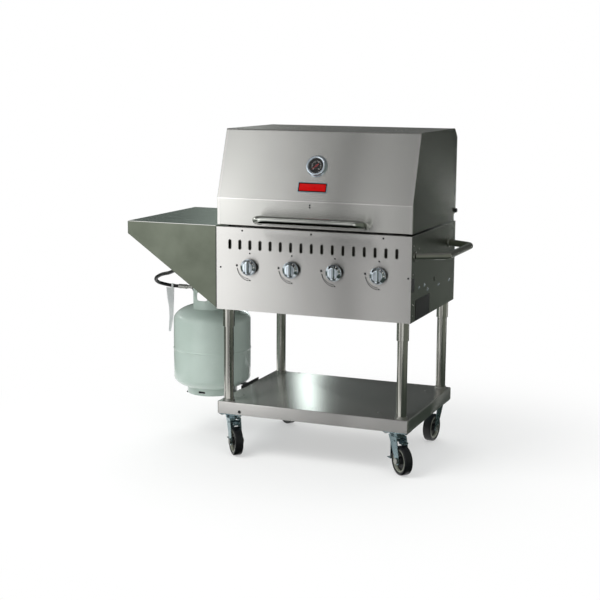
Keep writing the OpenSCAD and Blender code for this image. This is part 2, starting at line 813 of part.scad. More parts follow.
module cooking_grates() {
    edge = 8;
    length = liner_y1 - liner_y0 - 2 * sheet - 2 * gap;
    section = (2 * liner_half_w - gap) / grate_count - gap;
    pitch = (section - edge) / grate_slots;
    color([0.3, 0.3, 0.3]) for (i = [0:grate_count - 1])
        translate([-liner_half_w + gap + i * (section + gap), liner_y0 + sheet + gap, grate_z])
            linear_extrude(grate_t) difference() {
                square([section, length]);
                for (k = [0:grate_slots - 1], half = [0, 1])
                    translate([edge + k * pitch, edge + half * length / 2])
                        square([pitch - edge, length / 2 - 2 * edge]);
            }
}

module gas_manifold() {
    color([0.25, 0.25, 0.26]) {
        translate([0, manifold_y, manifold_z]) difference() {
            rod_x(manifold_r, manifold_x0, manifold_x1);
            rod_x(manifold_r - 2.5, manifold_x0 - eps, manifold_x1 - 3);
        }
        for (x = [knob_xs[0] + knob_pitch / 2, knob_xs[2] + knob_pitch / 2])
            block([x - 12, panel_y, manifold_z - 5], [x + 12, manifold_y - manifold_r + 2, manifold_z + 5]);
    }
}

module gas_valves() {
    color([0.72, 0.6, 0.35]) for (x = knob_xs) difference() {
        union() {
            translate([x, 0, knob_z]) {
                rod_y(valve_r, valve_y0, valve_y1);
                rod_y(orifice_r, valve_y1 - eps, burner_y0 + 2);
            }
            block([x - 9, manifold_y - 8, manifold_z], [x + 9, manifold_y + 8, knob_z - valve_r / 2]);
        }
        translate([x, 0, knob_z]) rod_y(stem_r + run, valve_y0 - eps, stem_bore_end);
        translate([0, manifold_y, manifold_z]) rod_x(manifold_r + run, x - 12, x + 12);
    }
}

// Heads of the screws and bolts that hold the panels: [x, z] in front, [y, z, radius] at the end
front_screws = [[-276, 301], [-1, 301], [275, 301], [370, 163], [-364, 160]];
end_screws = [
    [-123, 116, 7], [-188, 116, 7], [-79, 93, 7], [64, 92, 7], [211, 89, 7], [-220, 226, 4],
    [-199, 260, 4], [-262, 277, 4], [-266, 175, 4], [-261, 63, 4], [-264, 24, 4]
];
shelf_screws = [[-271, 276], [-336, 190], [-327, -165], [241, -210], [240, 270], [302, 190]];

module panel_screws() {
    head_h = 2;
    color([0.35, 0.36, 0.36]) {
        for (p = front_screws) translate([p[0], 0, box_z + p[1]]) rod_y(3.5, -half_d - head_h, -half_d);
        for (p = end_screws) translate([0, p[0], box_z + p[1]]) rod_x(p[2], half_w, half_w + head_h);
        for (p = shelf_screws) translate([p[0], p[1], shelf_top]) cylinder(r = 5, h = head_h);
    }
}

module side_handle() {
    color([0.6, 0.6, 0.58]) difference() {
        translate([half_w, -side_handle_shift, box_z + side_handle_rise]) rotate([0, 0, 90])
            bent_bar(side_handle_span, side_handle_grip, side_handle_reach, side_handle_r, 36, 20);
        block([half_w - 60, -half_d, box_z], [half_w, half_d, box_top]);
    }
}

module side_shelf() {
    color([0.42, 0.49, 0.45]) {
        block([shelf2_x, -half_d, shelf2_top - sheet], [-half_w, half_d, shelf2_top]);
        block([shelf2_x, panel_y, shelf2_top - side_shelf_edge], [shelf2_x + sheet, half_d - sheet, shelf2_top]);
    }
}

module shelf_gussets() {
    top = shelf2_top - sheet;
    side = [[shelf2_x, top], [shelf2_x, shelf2_top - side_shelf_edge], [-half_w, box_z + 3], [-half_w, top]];
    color([0.43, 0.45, 0.4]) {
        along_y(-half_d, panel_y) polygon(side);
        along_y(half_d - sheet, half_d) polygon(side);
    }
}

module data_plate() {
    y0 = -half_d + data_plate_inset;
    color([0.08, 0.08, 0.09])
        block([half_w, y0, box_z + 2], [half_w + 1.2, y0 + data_plate_l, box_z + 2 + data_plate_h]);
}

module tank_bracket() {
    t = 3;
    x1 = -half_w;
    color([0.07, 0.07, 0.07]) {
        block([x1 - t, cyl_y - hanger_l / 2, cyl_z - 7], [x1, cyl_y + hanger_l / 2, shelf_top + 9]);
        block([cyl_x - ring_r + 6, cyl_y - hanger_arm_w / 2, cyl_z - 5], [x1 - 1, cyl_y + hanger_arm_w / 2, cyl_z]);
        block([x1 - 18, cyl_y - 54, shelf_top + 5], [x1 - 1, cyl_y - 20, shelf_top + 9]);
    }
}

// ---- controls ----

module valve_stem(i) {
    color([0.7, 0.7, 0.7]) translate([knob_xs[i], 0, knob_z]) rod_y(stem_r, stem_y0, stem_y1);
}

module knob(i) {
    skirt = [[0, 0], [knob_neck_r, 0], [knob_neck_r, knob_neck_t], [knob_r, knob_neck_t + 1],
             [knob_r, knob_neck_t + 4], [knob_r - 3, skirt_t], [hub_r, skirt_t + 1],
             [hub_r - 2, hub_t], [0, hub_t]];
    color([0.72, 0.74, 0.76]) translate([knob_xs[i], knob_back, knob_z]) rotate([90, 0, 0]) difference() {
        union() {
            rotate_extrude() polygon(skirt);
            translate([0, 0, knob_neck_t + 2]) linear_extrude(knob_t - knob_neck_t - 2)
                round_rect(grip_w, knob_dia - 6, grip_w / 2 - 1);
        }
        translate([0, 0, -eps]) cylinder(r = stem_r + run, h = knob_back - stem_y0 + eps + gap);
    }
}

module drip_tray() {
    w = tray_w / 2;
    color([0.5, 0.5, 0.48]) difference() {
        union() {
            block([-w, tray_y0, tray_z], [w, tray_y1, tray_z + tray_h]);
            block([-60, tray_y1 - eps, tray_z + tray_h - 12], [60, half_d + tray_pull, tray_z + tray_h]);
        }
        block([-w + tray_wall, tray_y0 + tray_wall, tray_z + tray_wall],
              [w - tray_wall, tray_y1 - tray_wall, tray_z + tray_h + eps]);
        block([-58, tray_y1, tray_z + tray_h - 14], [58, half_d + tray_pull - 1.5, tray_z + tray_h - 1.5]);
    }
}

// ---- hood ----

module hood_shell() {
    w = hood_half_w - sheet;
    color([0.6, 0.61, 0.59]) difference() {
        along_x(-w, w) strip(hood_line, 0, sheet);
        on_slope(0, gauge_rise) translate([0, 0, -10]) cylinder(r = gauge_probe_r + slip, h = 20);
    }
}

module hood_end() {
    difference() {
        union() {
            along_x(hood_half_w - sheet, hood_half_w) {
                polygon(concat(hood_line, [hood_corner]));
                translate([hinge_y, hinge_z]) circle(hinge_boss_r);
            }
            along_x(hood_half_w - sheet - end_lip, hood_half_w - sheet + 0.5) strip(hood_line, sheet, 2 * sheet);
        }
        translate([0, hinge_y, hinge_z]) rod_x(hinge_r + run, hood_half_w - sheet - eps, hood_half_w + eps);
    }
}

module hood_ends() {
    color([0.33, 0.35, 0.33]) {
        hood_end();
        mirror([1, 0, 0]) hood_end();
    }
}

module hood_handle() {
    color([0.45, 0.47, 0.46]) difference() {
        translate([0, hood_y0, hood_z + hood_handle_rise]) rotate([-hood_handle_tilt, 0, 0])
            bent_bar(hood_handle_span, hood_handle_span, hood_handle_reach, hood_handle_r, 34, 20);
        block([-hood_half_w, hood_y0, hood_z - 40], [hood_half_w, hood_y0 + 60, hood_z + hood_front_h + 40]);
    }
}

module gauge_case() {
    probe = 50;
    profile = [
        [0, -probe], [gauge_probe_r, -probe], [gauge_probe_r, 0], [gauge_r, 0], [gauge_r, gauge_t - 6],
        [gauge_r - 3, gauge_t - 1.5], [gauge_r - 6, gauge_t], [gauge_in_r + 1, gauge_t],
        [gauge_in_r + 1, lens_z + lens_t], [gauge_in_r + 1, lens_z], [gauge_in_r, lens_z],
        [gauge_in_r, gauge_floor], [needle_pin_r, gauge_floor], [needle_pin_r, needle_z + needle_t + 0.6],
        [0, needle_z + needle_t + 0.6]
    ];
    color([0.75, 0.77, 0.8]) on_slope(0, gauge_rise) rotate_extrude() polygon(profile);
}

module gauge_needle() {
    tip = gauge_in_r - 5;
    color([0.75, 0.05, 0.05]) on_slope(0, gauge_rise) translate([0, 0, needle_z]) linear_extrude(needle_t)
        rotate([0, 0, 130]) difference() {
            union() {
                circle(4);
                polygon([[-2, -10], [2, -10], [0.6, tip], [-0.6, tip]]);
            }
            circle(needle_pin_r + run);
        }
}

module gauge_lens() {
    color([0.8, 0.85, 0.85, 0.4]) on_slope(0, gauge_rise) translate([0, 0, lens_z])
        cylinder(r = gauge_in_r + 1 - run, h = lens_t);
}

module badge_plate() {
    rim = 3;
    color([0.75, 0.02, 0.02]) on_slope(-6, badge_rise) difference() {
        translate([0, 0, 0]) linear_extrude(3) round_rect(badge_w, badge_h, 1.5);
        translate([0, 0, 2]) linear_extrude(3) round_rect(badge_w - 2 * rim, badge_h - 2 * rim, 1);
    }
}

module hinge_pins() {
    head_r = 8;
    color([0.08, 0.08, 0.08]) for (s = [0, 1]) mirror([s, 0, 0]) translate([0, hinge_y, hinge_z]) {
        rod_x(hinge_r, ear_x - 4, hood_half_w + 8);
        rod_x(head_r, hood_half_w + gap, hood_half_w + 8);
        rod_x(head_r, ear_x - 8, ear_x);
    }
}

// ---- gas supply ----

// Half outline of the cylinder's wall, from the axis at the bottom to the neck at the top
function arc(rx, rz, z, a0, a1) = [for (a = [a0:(a1 - a0) / 10:a1 + 0.01]) [rx * cos(a), z + rz * sin(a)]];

module gas_cylinder() {
    bead = 2.5;
    seam_z = wall_z0 + cyl_wall_h / 2;
    in_r = cyl_r - cyl_wall;
    window = [[258, 285], [20, 50], [75, 105]];
    outside = concat(
        [[0, wall_z0 - bottom_h]],
        [for (a = [-81:9:-9]) [cyl_r * cos(a), wall_z0 + bottom_h * sin(a)]],
        [[cyl_r, wall_z0], [cyl_r, seam_z - 4], [cyl_r + bead - 1, seam_z - bead], [cyl_r + bead - 1, seam_z + bead],
         [cyl_r, seam_z + 4], [cyl_r, wall_z1]],
        [for (a = [9:9:81]) [cyl_r * cos(a), wall_z1 + dome_h * sin(a)]],
        [[0, dome_top]]
    );
    inside = concat(
        [[0, wall_z0 - bottom_h + cyl_wall]],
        [for (a = [-81:9:81]) [in_r * cos(a), (a < 0 ? wall_z0 : wall_z1)
            + ((a < 0 ? bottom_h : dome_h) - cyl_wall) * sin(a)]],
        [[0, dome_top - cyl_wall]]
    );
    color([0.68, 0.74, 0.7]) translate([cyl_x, cyl_y, 0]) difference() {
        union() {
            rotate_extrude($fn = 96) polygon(outside);
            translate([0, 0, cyl_z]) pipe(ring_r, guard_t, ring_top - cyl_z);
            difference() {
                translate([0, 0, wall_z1 + 40]) pipe(guard_r, guard_t, guard_top - 40);
                rotate([0, 0, 180 - guard_half_gap]) translate([0, 0, wall_z1]) linear_extrude(guard_top + eps)
                    polygon([[0, 0], [2 * guard_r, 0], [2 * guard_r, 2 * guard_r], [-2 * guard_r, 2 * guard_r],
                             2 * guard_r * [cos(2 * guard_half_gap), sin(2 * guard_half_gap)]]);
                for (w = window) rotate([0, 0, (w[0] + w[1]) / 2])
                    translate([0, 0, wall_z1 + 105]) along_x(guard_r - 10, guard_r + 10)
                        square([guard_r * (w[1] - w[0]) * PI / 180, 34], center = true);
            }
            translate([0, 0, dome_top - 8]) cylinder(r = neck_r, h = neck_top - dome_top + 8);
        }
        rotate_extrude($fn = 96) polygon(inside);
        translate([0, 0, dome_top - 20]) cylinder(r = shank_r + run, h = 40);
        rotate([0, 0, -90]) translate([0, 0, cyl_z + 14]) along_x(ring_r - 10, ring_r + 10) round_rect(30, 9, 4);
    }
}

module cylinder_valve() {
    nut_x0 = -82;
    tip = ferrule_x - cyl_x;
    color([0.7, 0.62, 0.4]) translate([cyl_x, cyl_y, 0]) {
        difference() {
            union() {
                translate([0, 0, neck_top - 25]) cylinder(r = shank_r, h = 26);
                translate([0, 0, neck_top]) cylinder(r = valve_body_r, h = valve_top - neck_top);
                translate([0, 0, outlet_z]) rod_x(11, -40, 0);
                translate([0, 0, outlet_z]) rod_x(16, -48, -26);
            }
            translate([0, 0, valve_top - 22]) cylinder(r = wheel_stem_r + run, h = 30);
        }
        translate([0, 0, outlet_z]) {
            rod_x(19, nut_x0, -48);
            rod_x(8, -115, nut_x0 + eps);
            rod_x(9.5, tip, -114);
        }
    }
}

module cylinder_handwheel() {
    color([0.1, 0.1, 0.1]) translate([cyl_x, cyl_y, 0]) {
        translate([0, 0, valve_top - 20]) cylinder(r = wheel_stem_r, h = 24);
        translate([0, 0, valve_top + gap]) difference() {
            cylinder(r = 24, h = 14);
            for (a = [0:45:315]) rotate([0, 0, a]) translate([29, 0, -eps]) cylinder(r = 8, h = 20);
        }
    }
}

module regulator() {
    color([0.55, 0.56, 0.56]) translate([0, manifold_y, manifold_z]) {
        rod_x(14, reg_x + 24, manifold_x0);
        translate([reg_x, 0, 0]) {
            rod_y(reg_r, -14, 14);
            rod_y(12, -22, 22);
        }
        rod_x(9.5, reg_x0, reg_x - 20);
    }
}

// A round tube of radius r swept along the points p
function tangent(p, i) = unit(p[min(i + 1, len(p) - 1)] - p[max(i - 1, 0)]);
function ring(p, i, r, sides) = let (t = tangent(p, i), u = unit(cross(t, [0, 0, 1])), v = cross(u, t))
    [for (k = [0:sides - 1]) p[i] + r * (cos(360 * k / sides) * u + sin(360 * k / sides) * v)];

module swept_tube(p, r, sides) {
    n = len(p);
    polyhedron(
        points = [for (i = [0:n - 1]) each ring(p, i, r, sides)],
        faces = concat(
            [[for (k = [0:sides - 1]) k]],
            [for (i = [0:n - 2], k = [0:sides - 1])
                [i * sides + k, (i + 1) * sides + k, (i + 1) * sides + (k + 1) % sides, i * sides + (k + 1) % sides]],
            [[for (k = [sides - 1:-1:0]) (n - 1) * sides + k]]
        )
    );
}

module gas_hose() {
    color([0.05, 0.05, 0.05]) swept_tube(hose_points, hose_r, 12);
}

module hose_tag() {
    color([0.9, 0.92, 0.92]) {
        translate(tag_place) rotate([0, 0, 12]) {
            difference() {
                rod_x(hose_r + 2, -4, 4);
                rod_x(hose_r + 1, -4 - eps, 4 + eps);
            }
            translate([0, 0, -hose_r - 1.5]) along_y(-0.5, 0.5)
                polygon([for (p = tag_line) [p[0] * tag_w, p[1] * tag_l]]);
        }
    }
}

lower_shelf();
shelf_stiffeners();
legs();
leg_sockets();
caster_plates();
caster_bolts();
caster_fork(FL, true);  // caster_fork_fl
caster_fork(FR, true);  // caster_fork_fr
caster_fork(RL, false);  // caster_fork_rl
caster_fork(RR, false);  // caster_fork_rr
caster_axle(FL);  // caster_axle_fl
caster_axle(FR);  // caster_axle_fr
caster_axle(RL);  // caster_axle_rl
caster_axle(RR);  // caster_axle_rr
caster_wheel(FL);  // caster_wheel_fl
caster_wheel(FR);  // caster_wheel_fr
caster_wheel(RL);  // caster_wheel_rl
caster_wheel(RR);  // caster_wheel_rr
caster_brake(FL);  // caster_brake_fl
caster_brake(FR);  // caster_brake_fr
control_panel();
side_panel_left();
side_panel_right();
back_panel();
firebox_liner();
tray_rails();
burners();
heat_plates();
cooking_grates();
gas_manifold();
gas_valves();
panel_screws();
side_handle();
side_shelf();
shelf_gussets();
data_plate();
tank_bracket();
knob(0);  // knob_1
knob(1);  // knob_2
knob(2);  // knob_3
knob(3);  // knob_4
valve_stem(0);  // valve_stem_1
valve_stem(1);  // valve_stem_2
valve_stem(2);  // valve_stem_3
valve_stem(3);  // valve_stem_4
drip_tray();
hood_shell();
hood_ends();
hood_handle();
gauge_case();
gauge_needle();
gauge_lens();
badge_plate();
hinge_pins();
gas_cylinder();
cylinder_valve();
cylinder_handwheel();
regulator();
gas_hose();
hose_tag();
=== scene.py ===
# A four-burner gas barbecue grill on a caster cart: its looks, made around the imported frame.
# The dictionaries give millimetres, as the construction does, and addPiece turns them to metres.
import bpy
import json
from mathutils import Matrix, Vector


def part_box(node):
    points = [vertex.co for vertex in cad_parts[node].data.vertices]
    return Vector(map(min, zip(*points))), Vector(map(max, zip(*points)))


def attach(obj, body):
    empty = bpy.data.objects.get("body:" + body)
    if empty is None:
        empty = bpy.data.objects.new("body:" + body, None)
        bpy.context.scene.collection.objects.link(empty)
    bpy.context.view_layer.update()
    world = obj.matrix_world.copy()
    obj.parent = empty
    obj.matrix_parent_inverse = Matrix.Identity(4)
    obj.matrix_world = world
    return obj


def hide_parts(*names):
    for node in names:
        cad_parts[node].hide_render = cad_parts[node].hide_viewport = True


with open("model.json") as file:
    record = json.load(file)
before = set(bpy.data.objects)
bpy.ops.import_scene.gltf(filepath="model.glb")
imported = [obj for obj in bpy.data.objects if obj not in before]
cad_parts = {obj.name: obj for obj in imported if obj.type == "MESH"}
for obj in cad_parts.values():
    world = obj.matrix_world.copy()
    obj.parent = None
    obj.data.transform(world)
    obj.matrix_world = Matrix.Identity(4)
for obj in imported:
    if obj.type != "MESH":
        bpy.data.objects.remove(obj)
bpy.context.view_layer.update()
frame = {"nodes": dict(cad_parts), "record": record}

import json
from math import acos, cos, degrees, hypot, pi, radians, sin, tan

import bmesh
import bpy
import numpy as np

record = frame["record"]
bodyOfNode = {node: body for body, nodes in record["behaviour"]["bodies"].items() for node in nodes}
slotOfNode = {part["node"]: part["material_slot"] for part in record["subparts"]}
xAxis, yAxis, zAxis = np.eye(3)
levels = ("lower_shelf", 1), ("control_panel", 0), ("gas_cylinder", 0)
deckTop, boxFoot, ringFoot = (1000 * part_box(node)[end][2] for node, end in levels)
shelfFoot, hoodFoot = 1000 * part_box("lower_shelf")[0][2], 1000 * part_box("hood_shell")[0][2]
boxHeight, frontY, endX = 312, -287, 381  # of the firebox: its height, its front and its right end
boxTop = boxFoot + boxHeight
print("frame loaded:", len(frame["nodes"]), "nodes")


# Shapes: each is (points, faces), with the points as an array of rows of X, Y and Z

# Quads between the neighbours of a grid of rows by columns, wrapping round where it closes
def gridFaces(rows, columns, closeRows, closeColumns):
    a, b = np.meshgrid(np.arange(rows if closeRows else rows - 1),
                       np.arange(columns if closeColumns else columns - 1), indexing="ij")
    a2, b2 = (a + 1) % rows, (b + 1) % columns
    corners = (a * columns + b, a * columns + b2, a2 * columns + b2, a2 * columns + b)
    return np.stack(corners, -1).reshape(-1, 4).tolist()


# A grid of points, rows by columns by 3, as a shape. A cap closes the first and last rows
def surface(grid, closeRows=False, closeColumns=True, caps=False):
    rows, columns = grid.shape[:2]
    faces = gridFaces(rows, columns, closeRows, closeColumns)
    if caps:
        faces += [list(range(columns)), list(range((rows - 1) * columns, rows * columns))]
    return grid.reshape(-1, 3), faces


def together(*shapes):  # several shapes as one, with each one's faces counted on from the last
    counts = np.cumsum([0] + [len(points) for points, faces in shapes])
    faces = [[i + int(start) for i in face] for (points, own), start in zip(shapes, counts) for face in own]
    return np.vstack([points for points, own in shapes]), faces


# A shape moved so that its own X, Y and Z point along the given axes from the origin
def placed(shape, origin=(0, 0, 0), x=xAxis, y=yAxis, z=zAxis):
    return shape[0] @ np.array([x, y, z], float) + np.asarray(origin, float), shape[1]


def onFront(shape, x, z, y=frontY):  # its own X along X, its Y upwards and its Z out of the front
    return placed(shape, (x, y, z), xAxis, zAxis, -yAxis)


# A shape with its own Z along X or against it, its X along Y and its Y upwards
def alongX(shape, origin, way=1):
    return placed(shape, origin, yAxis, zAxis, way * xAxis)


def turned(angle, aboutX=False):  # the axes after a turn about Z, or about X
    c, s = cos(radians(angle)), sin(radians(angle))
    axes = [[1, 0, 0], [0, c, s], [0, -s, c]] if aboutX else [[c, s, 0], [-s, c, 0], [0, 0, 1]]
    return np.array(axes, float)


def unit(vectors):  # each divided by its own length
    return vectors / np.linalg.norm(vectors, axis=-1, keepdims=True)


def block(low, high):  # a box between two corners
    corners = np.array([[x, y, z] for z in (0, 1) for y in (0, 1) for x in (0, 1)], float)
    points = np.asarray(low, float) + corners * (np.asarray(high, float) - np.asarray(low, float))
    return points, [[0, 2, 3, 1], [4, 5, 7, 6], [0, 1, 5, 4], [2, 6, 7, 3], [0, 4, 6, 2], [1, 3, 7, 5]]


# A profile of (radius, height) points turned about Z: x = r cos t, y = r sin t, z = height, where
# lobes swell the radius as 1 + swell cos(lobes t)
def revolved(profile, sides=48, lobes=0, swell=0.0):
    profile = np.asarray(profile, float)
    t = np.linspace(0, 2 * pi, sides, endpoint=False)
    radius = profile[:, :1] * (1 + swell * np.cos(lobes * t))
    return surface(np.stack([radius * np.cos(t), radius * np.sin(t), profile[:, 1:] + 0 * t], -1))


def closedRing(profile, sides=48):  # a closed profile turned about Z, such as a washer or a pipe
    return revolved(list(profile) + [profile[0]], sides)


# Points of a circle or an ellipse from one angle to another, in degrees
def arc(centreX, centreZ, radius, start, end, steps, radiusZ=None):
    t = np.radians(np.linspace(start, end, steps + 1))
    return np.column_stack([centreX + radius * np.cos(t), centreZ + (radiusZ or radius) * np.sin(t)]).tolist()


# The corners of an open line replaced by arcs of the given radii: each arc's centre lies on the
# corner's bisector, at radius / sin(half the corner) from it
def roundedLine(points, radii, steps=7):
    p = np.asarray(points, float)
    parts = [p[:1]]
    for corner, before, after, radius in zip(p[1:-1], p[:-2], p[2:], np.broadcast_to(radii, len(p) - 2)):
        a, b = unit(before - corner), unit(after - corner)
        half = acos(np.clip(a @ b, -1, 1)) / 2
        t = np.linspace(half - pi / 2, pi / 2 - half, steps + 1)[:, None]
        bend = unit(b - a) * np.sin(t) - unit(a + b) * np.cos(t)
        parts.append(corner + unit(a + b) * radius / sin(half) + radius * bend)
    return np.vstack(parts + [p[-1:]])


# A Catmull-Rom line: each span is a cubic whose end slopes follow the points on either side
def smoothLine(points, perSpan=5):
    p = np.asarray(points, float)
    q = np.vstack([2 * p[0] - p[1], p, 2 * p[-1] - p[-2]])
    t = np.linspace(0, 1, perSpan, endpoint=False)[None, :, None]
    a, b, c, d = (q[i:len(q) - 3 + i, None, :] for i in range(4))
    line = (2 * b + (c - a) * t + (2 * a - 5 * b + 4 * c - d) * t ** 2 + (3 * b - a - 3 * c + d) * t ** 3) / 2
    return np.vstack([line.reshape(-1, 3), p[-1:]])


def tubeAlong(path, radius, sides):  # a round tube: rings at right angles to the line's slope
    slope = unit(np.gradient(path, axis=0))
    u = unit(np.cross(slope, zAxis))
    v = np.cross(u, slope)
    t = np.linspace(0, 2 * pi, sides, endpoint=False)[:, None]
    return surface(path[:, None] + radius * (np.cos(t) * u[:, None] + np.sin(t) * v[:, None]), caps=True)


def roundRect(width, depth, radius, steps=5):  # its outline, anticlockwise, with four quarter circles
    radius = max(radius, 0.01)
    t = np.linspace(0, pi / 2, steps + 1)
    parts = []
    for k, (sx, sy) in enumerate([(1, 1), (-1, 1), (-1, -1), (1, -1)]):
        centre = [sx * (width / 2 - radius), sy * (depth / 2 - radius)]
        parts.append(np.stack([np.cos(t + k * pi / 2), np.sin(t + k * pi / 2)], -1) * radius + centre)
    return np.vstack(parts)


# Rounded rectangles stacked along a profile of (inset from the edge, height), closed at both ends
def stackedRect(width, depth, radius, profile, steps=5, closed=False):
    rings = [np.column_stack([roundRect(width - 2 * inset, depth - 2 * inset, radius - inset, steps),
                              np.full(4 * (steps + 1), height)]) for inset, height in profile]
    return surface(np.array(rings), closeRows=closed, caps=not closed)


# A sheet bent along a line of (across, up) points and run from start to end: the back of the
# sheet is the line moved by the thickness along its normals
def bentSheet(line, thickness, start, end):
    slope = unit(np.gradient(line, axis=0))
    back = line + thickness * np.column_stack([slope[:, 1], -slope[:, 0]])
    points, faces = slab(np.vstack([line, back[::-1]]), start, end, caps=False)
    m = len(points) // 2
    ends = [[i, i + 1, m - 2 - i, m - 1 - i] for i in range(len(line) - 1)]
    return points, faces + ends + [[i + m for i in face] for face in ends]


def slab(outline, low, high, caps=True):  # an outline of (x, y) points given a thickness
    outline = np.asarray(outline, float)
    rings = [np.column_stack([outline, np.full(len(outline), z)]) for z in (low, high)]
    return surface(np.array(rings), caps=caps)


# A mesh from points in metres: those closer than reach are merged, and then settle works on its faces
def cleanMesh(name, points, faces, reach, settle):
    mesh = bpy.data.meshes.new(name)
    mesh.from_pydata(points.tolist(), [], faces)
    work = bmesh.new()
    work.from_mesh(mesh)
    bmesh.ops.remove_doubles(work, verts=work.verts, dist=reach)
    settle(work)
    work.to_mesh(mesh)
    work.free()
    return mesh


# Turns a shape into an object that rides on a body. Seams and poles are merged, and the faces
# turned outwards, before any modifier sees them
def addPiece(name, shape, finish, slot, replaces=(), body="cart", bevel=0.0, wall=0.0, smooth=35):
    def turnOut(work):  # the normals of all faces point outwards
        bmesh.ops.recalc_face_normals(work, faces=work.faces)
    mesh = cleanMesh(name, shape[0] / 1000, shape[1], 1e-6, turnOut)
    return finishPiece(mesh, body, finish, slot, replaces, bevel, wall, smooth)


# A copy of a CAD node with its flat faces joined and its edges rounded by bevel millimetres
def roundedNode(node, finish, bevel):
    def joinFlat(work):  # neighbouring triangles in one plane become one face
        bmesh.ops.dissolve_limit(work, angle_limit=radians(0.2), verts=work.verts, edges=work.edges)
    source = frame["nodes"][node].data
    points = np.empty(len(source.vertices) * 3)
    source.vertices.foreach_get("co", points)
    first, *others = node.split("_")
    mesh = cleanMesh(first + "".join(word.capitalize() for word in others) + "Piece", points.reshape(-1, 3),
                     [list(polygon.vertices) for polygon in source.polygons], 2e-6, joinFlat)
    return finishPiece(mesh, bodyOfNode[node], finish, slotOfNode[node], (node,), bevel, 0, 35)


def finishPiece(mesh, body, finish, slot, replaces, bevel, wall, smooth):  # smooth is in degrees
    mesh.shade_smooth()
    mesh.set_sharp_from_angle(angle=radians(smooth))
    mesh.materials.append(finish)
    piece = bpy.data.objects.new(mesh.name, mesh)
    bpy.context.scene.collection.objects.link(piece)
    if wall:
        solid = piece.modifiers.new("Wall", "SOLIDIFY")
        solid.thickness, solid.offset = wall / 1000, -1
    if bevel:
        edge = piece.modifiers.new("Edges", "BEVEL")
        edge.width, edge.segments = bevel / 1000, 2
        edge.limit_method, edge.angle_limit = "ANGLE", radians(32)
        edge.harden_normals = True
    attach(piece, body)
    if replaces:
        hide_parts(*replaces)
    return piece


# The camera

cameraView = {"azimuth": 21.9, "pitch": 9.8, "roll": 0.4, "distance": 5.1765, "target": (-0.1582, 0, 0.5664),
              "lens": 79.45}


# The matrix of something at a place that looks against the axis back, with right to its right
def matrixOf(right, up, back, place):
    matrix = np.eye(4)
    matrix[:3, :3] = np.array([right, up, back]).T
    matrix[:3, 3] = place
    return matrix.T.tolist()


def makeCamera(view):  # it looks at the target from an azimuth and a pitch, rolled about its own axis
    a, e, roll = (radians(view[key]) for key in ("azimuth", "pitch", "roll"))
    back = np.array([sin(a) * cos(e), -cos(a) * cos(e), sin(e)])
    right = np.array([cos(a), sin(a), 0])
    up = np.cross(back, right)
    camera = bpy.data.objects.new("camera", bpy.data.cameras.new("camera"))
    camera.data.lens, camera.data.sensor_width, camera.data.clip_end = view["lens"], 36, 100
    camera.matrix_world = matrixOf(right * cos(roll) + up * sin(roll), up * cos(roll) - right * sin(roll),
                                   back, np.array(view["target"]) + back * view["distance"])
    bpy.context.scene.collection.objects.link(camera)
    bpy.context.scene.camera = camera


makeCamera(cameraView)
print("camera placed")


# The finishes

def linear(hexColour):  # an sRGB hex value as the linear colour that the shader takes
    parts = [int(hexColour[i:i + 2], 16) / 255 for i in (1, 3, 5)]
    return tuple(p / 12.92 if p <= 0.04045 else ((p + 0.055) / 1.055) ** 2.4 for p in parts) + (1.0,)


# Adds a node, or takes one that is there, and sets its sockets, by name or number, or its own
# attributes. A value that is an output, or a node for its first one, is linked; stops are a ramp's
def addNode(tree, kind, values=None):
    node = tree.nodes.new("ShaderNode" + kind) if isinstance(kind, str) else kind
    for key, value in (values or {}).items():
        if isinstance(value, (bpy.types.Node, bpy.types.NodeSocket)):
            tree.links.new(value.outputs[0] if isinstance(value, bpy.types.Node) else value, node.inputs[key])
        elif key == "stops":
            for place, colour in value[1:-1]:
                node.color_ramp.elements.new(place)
            for element, (place, colour) in zip(node.color_ramp.elements, value):
                element.position, element.color = place, colour
        elif isinstance(key, int) or key in node.inputs:
            node.inputs[key].default_value = value
        else:
            setattr(node, key, value)
    return node


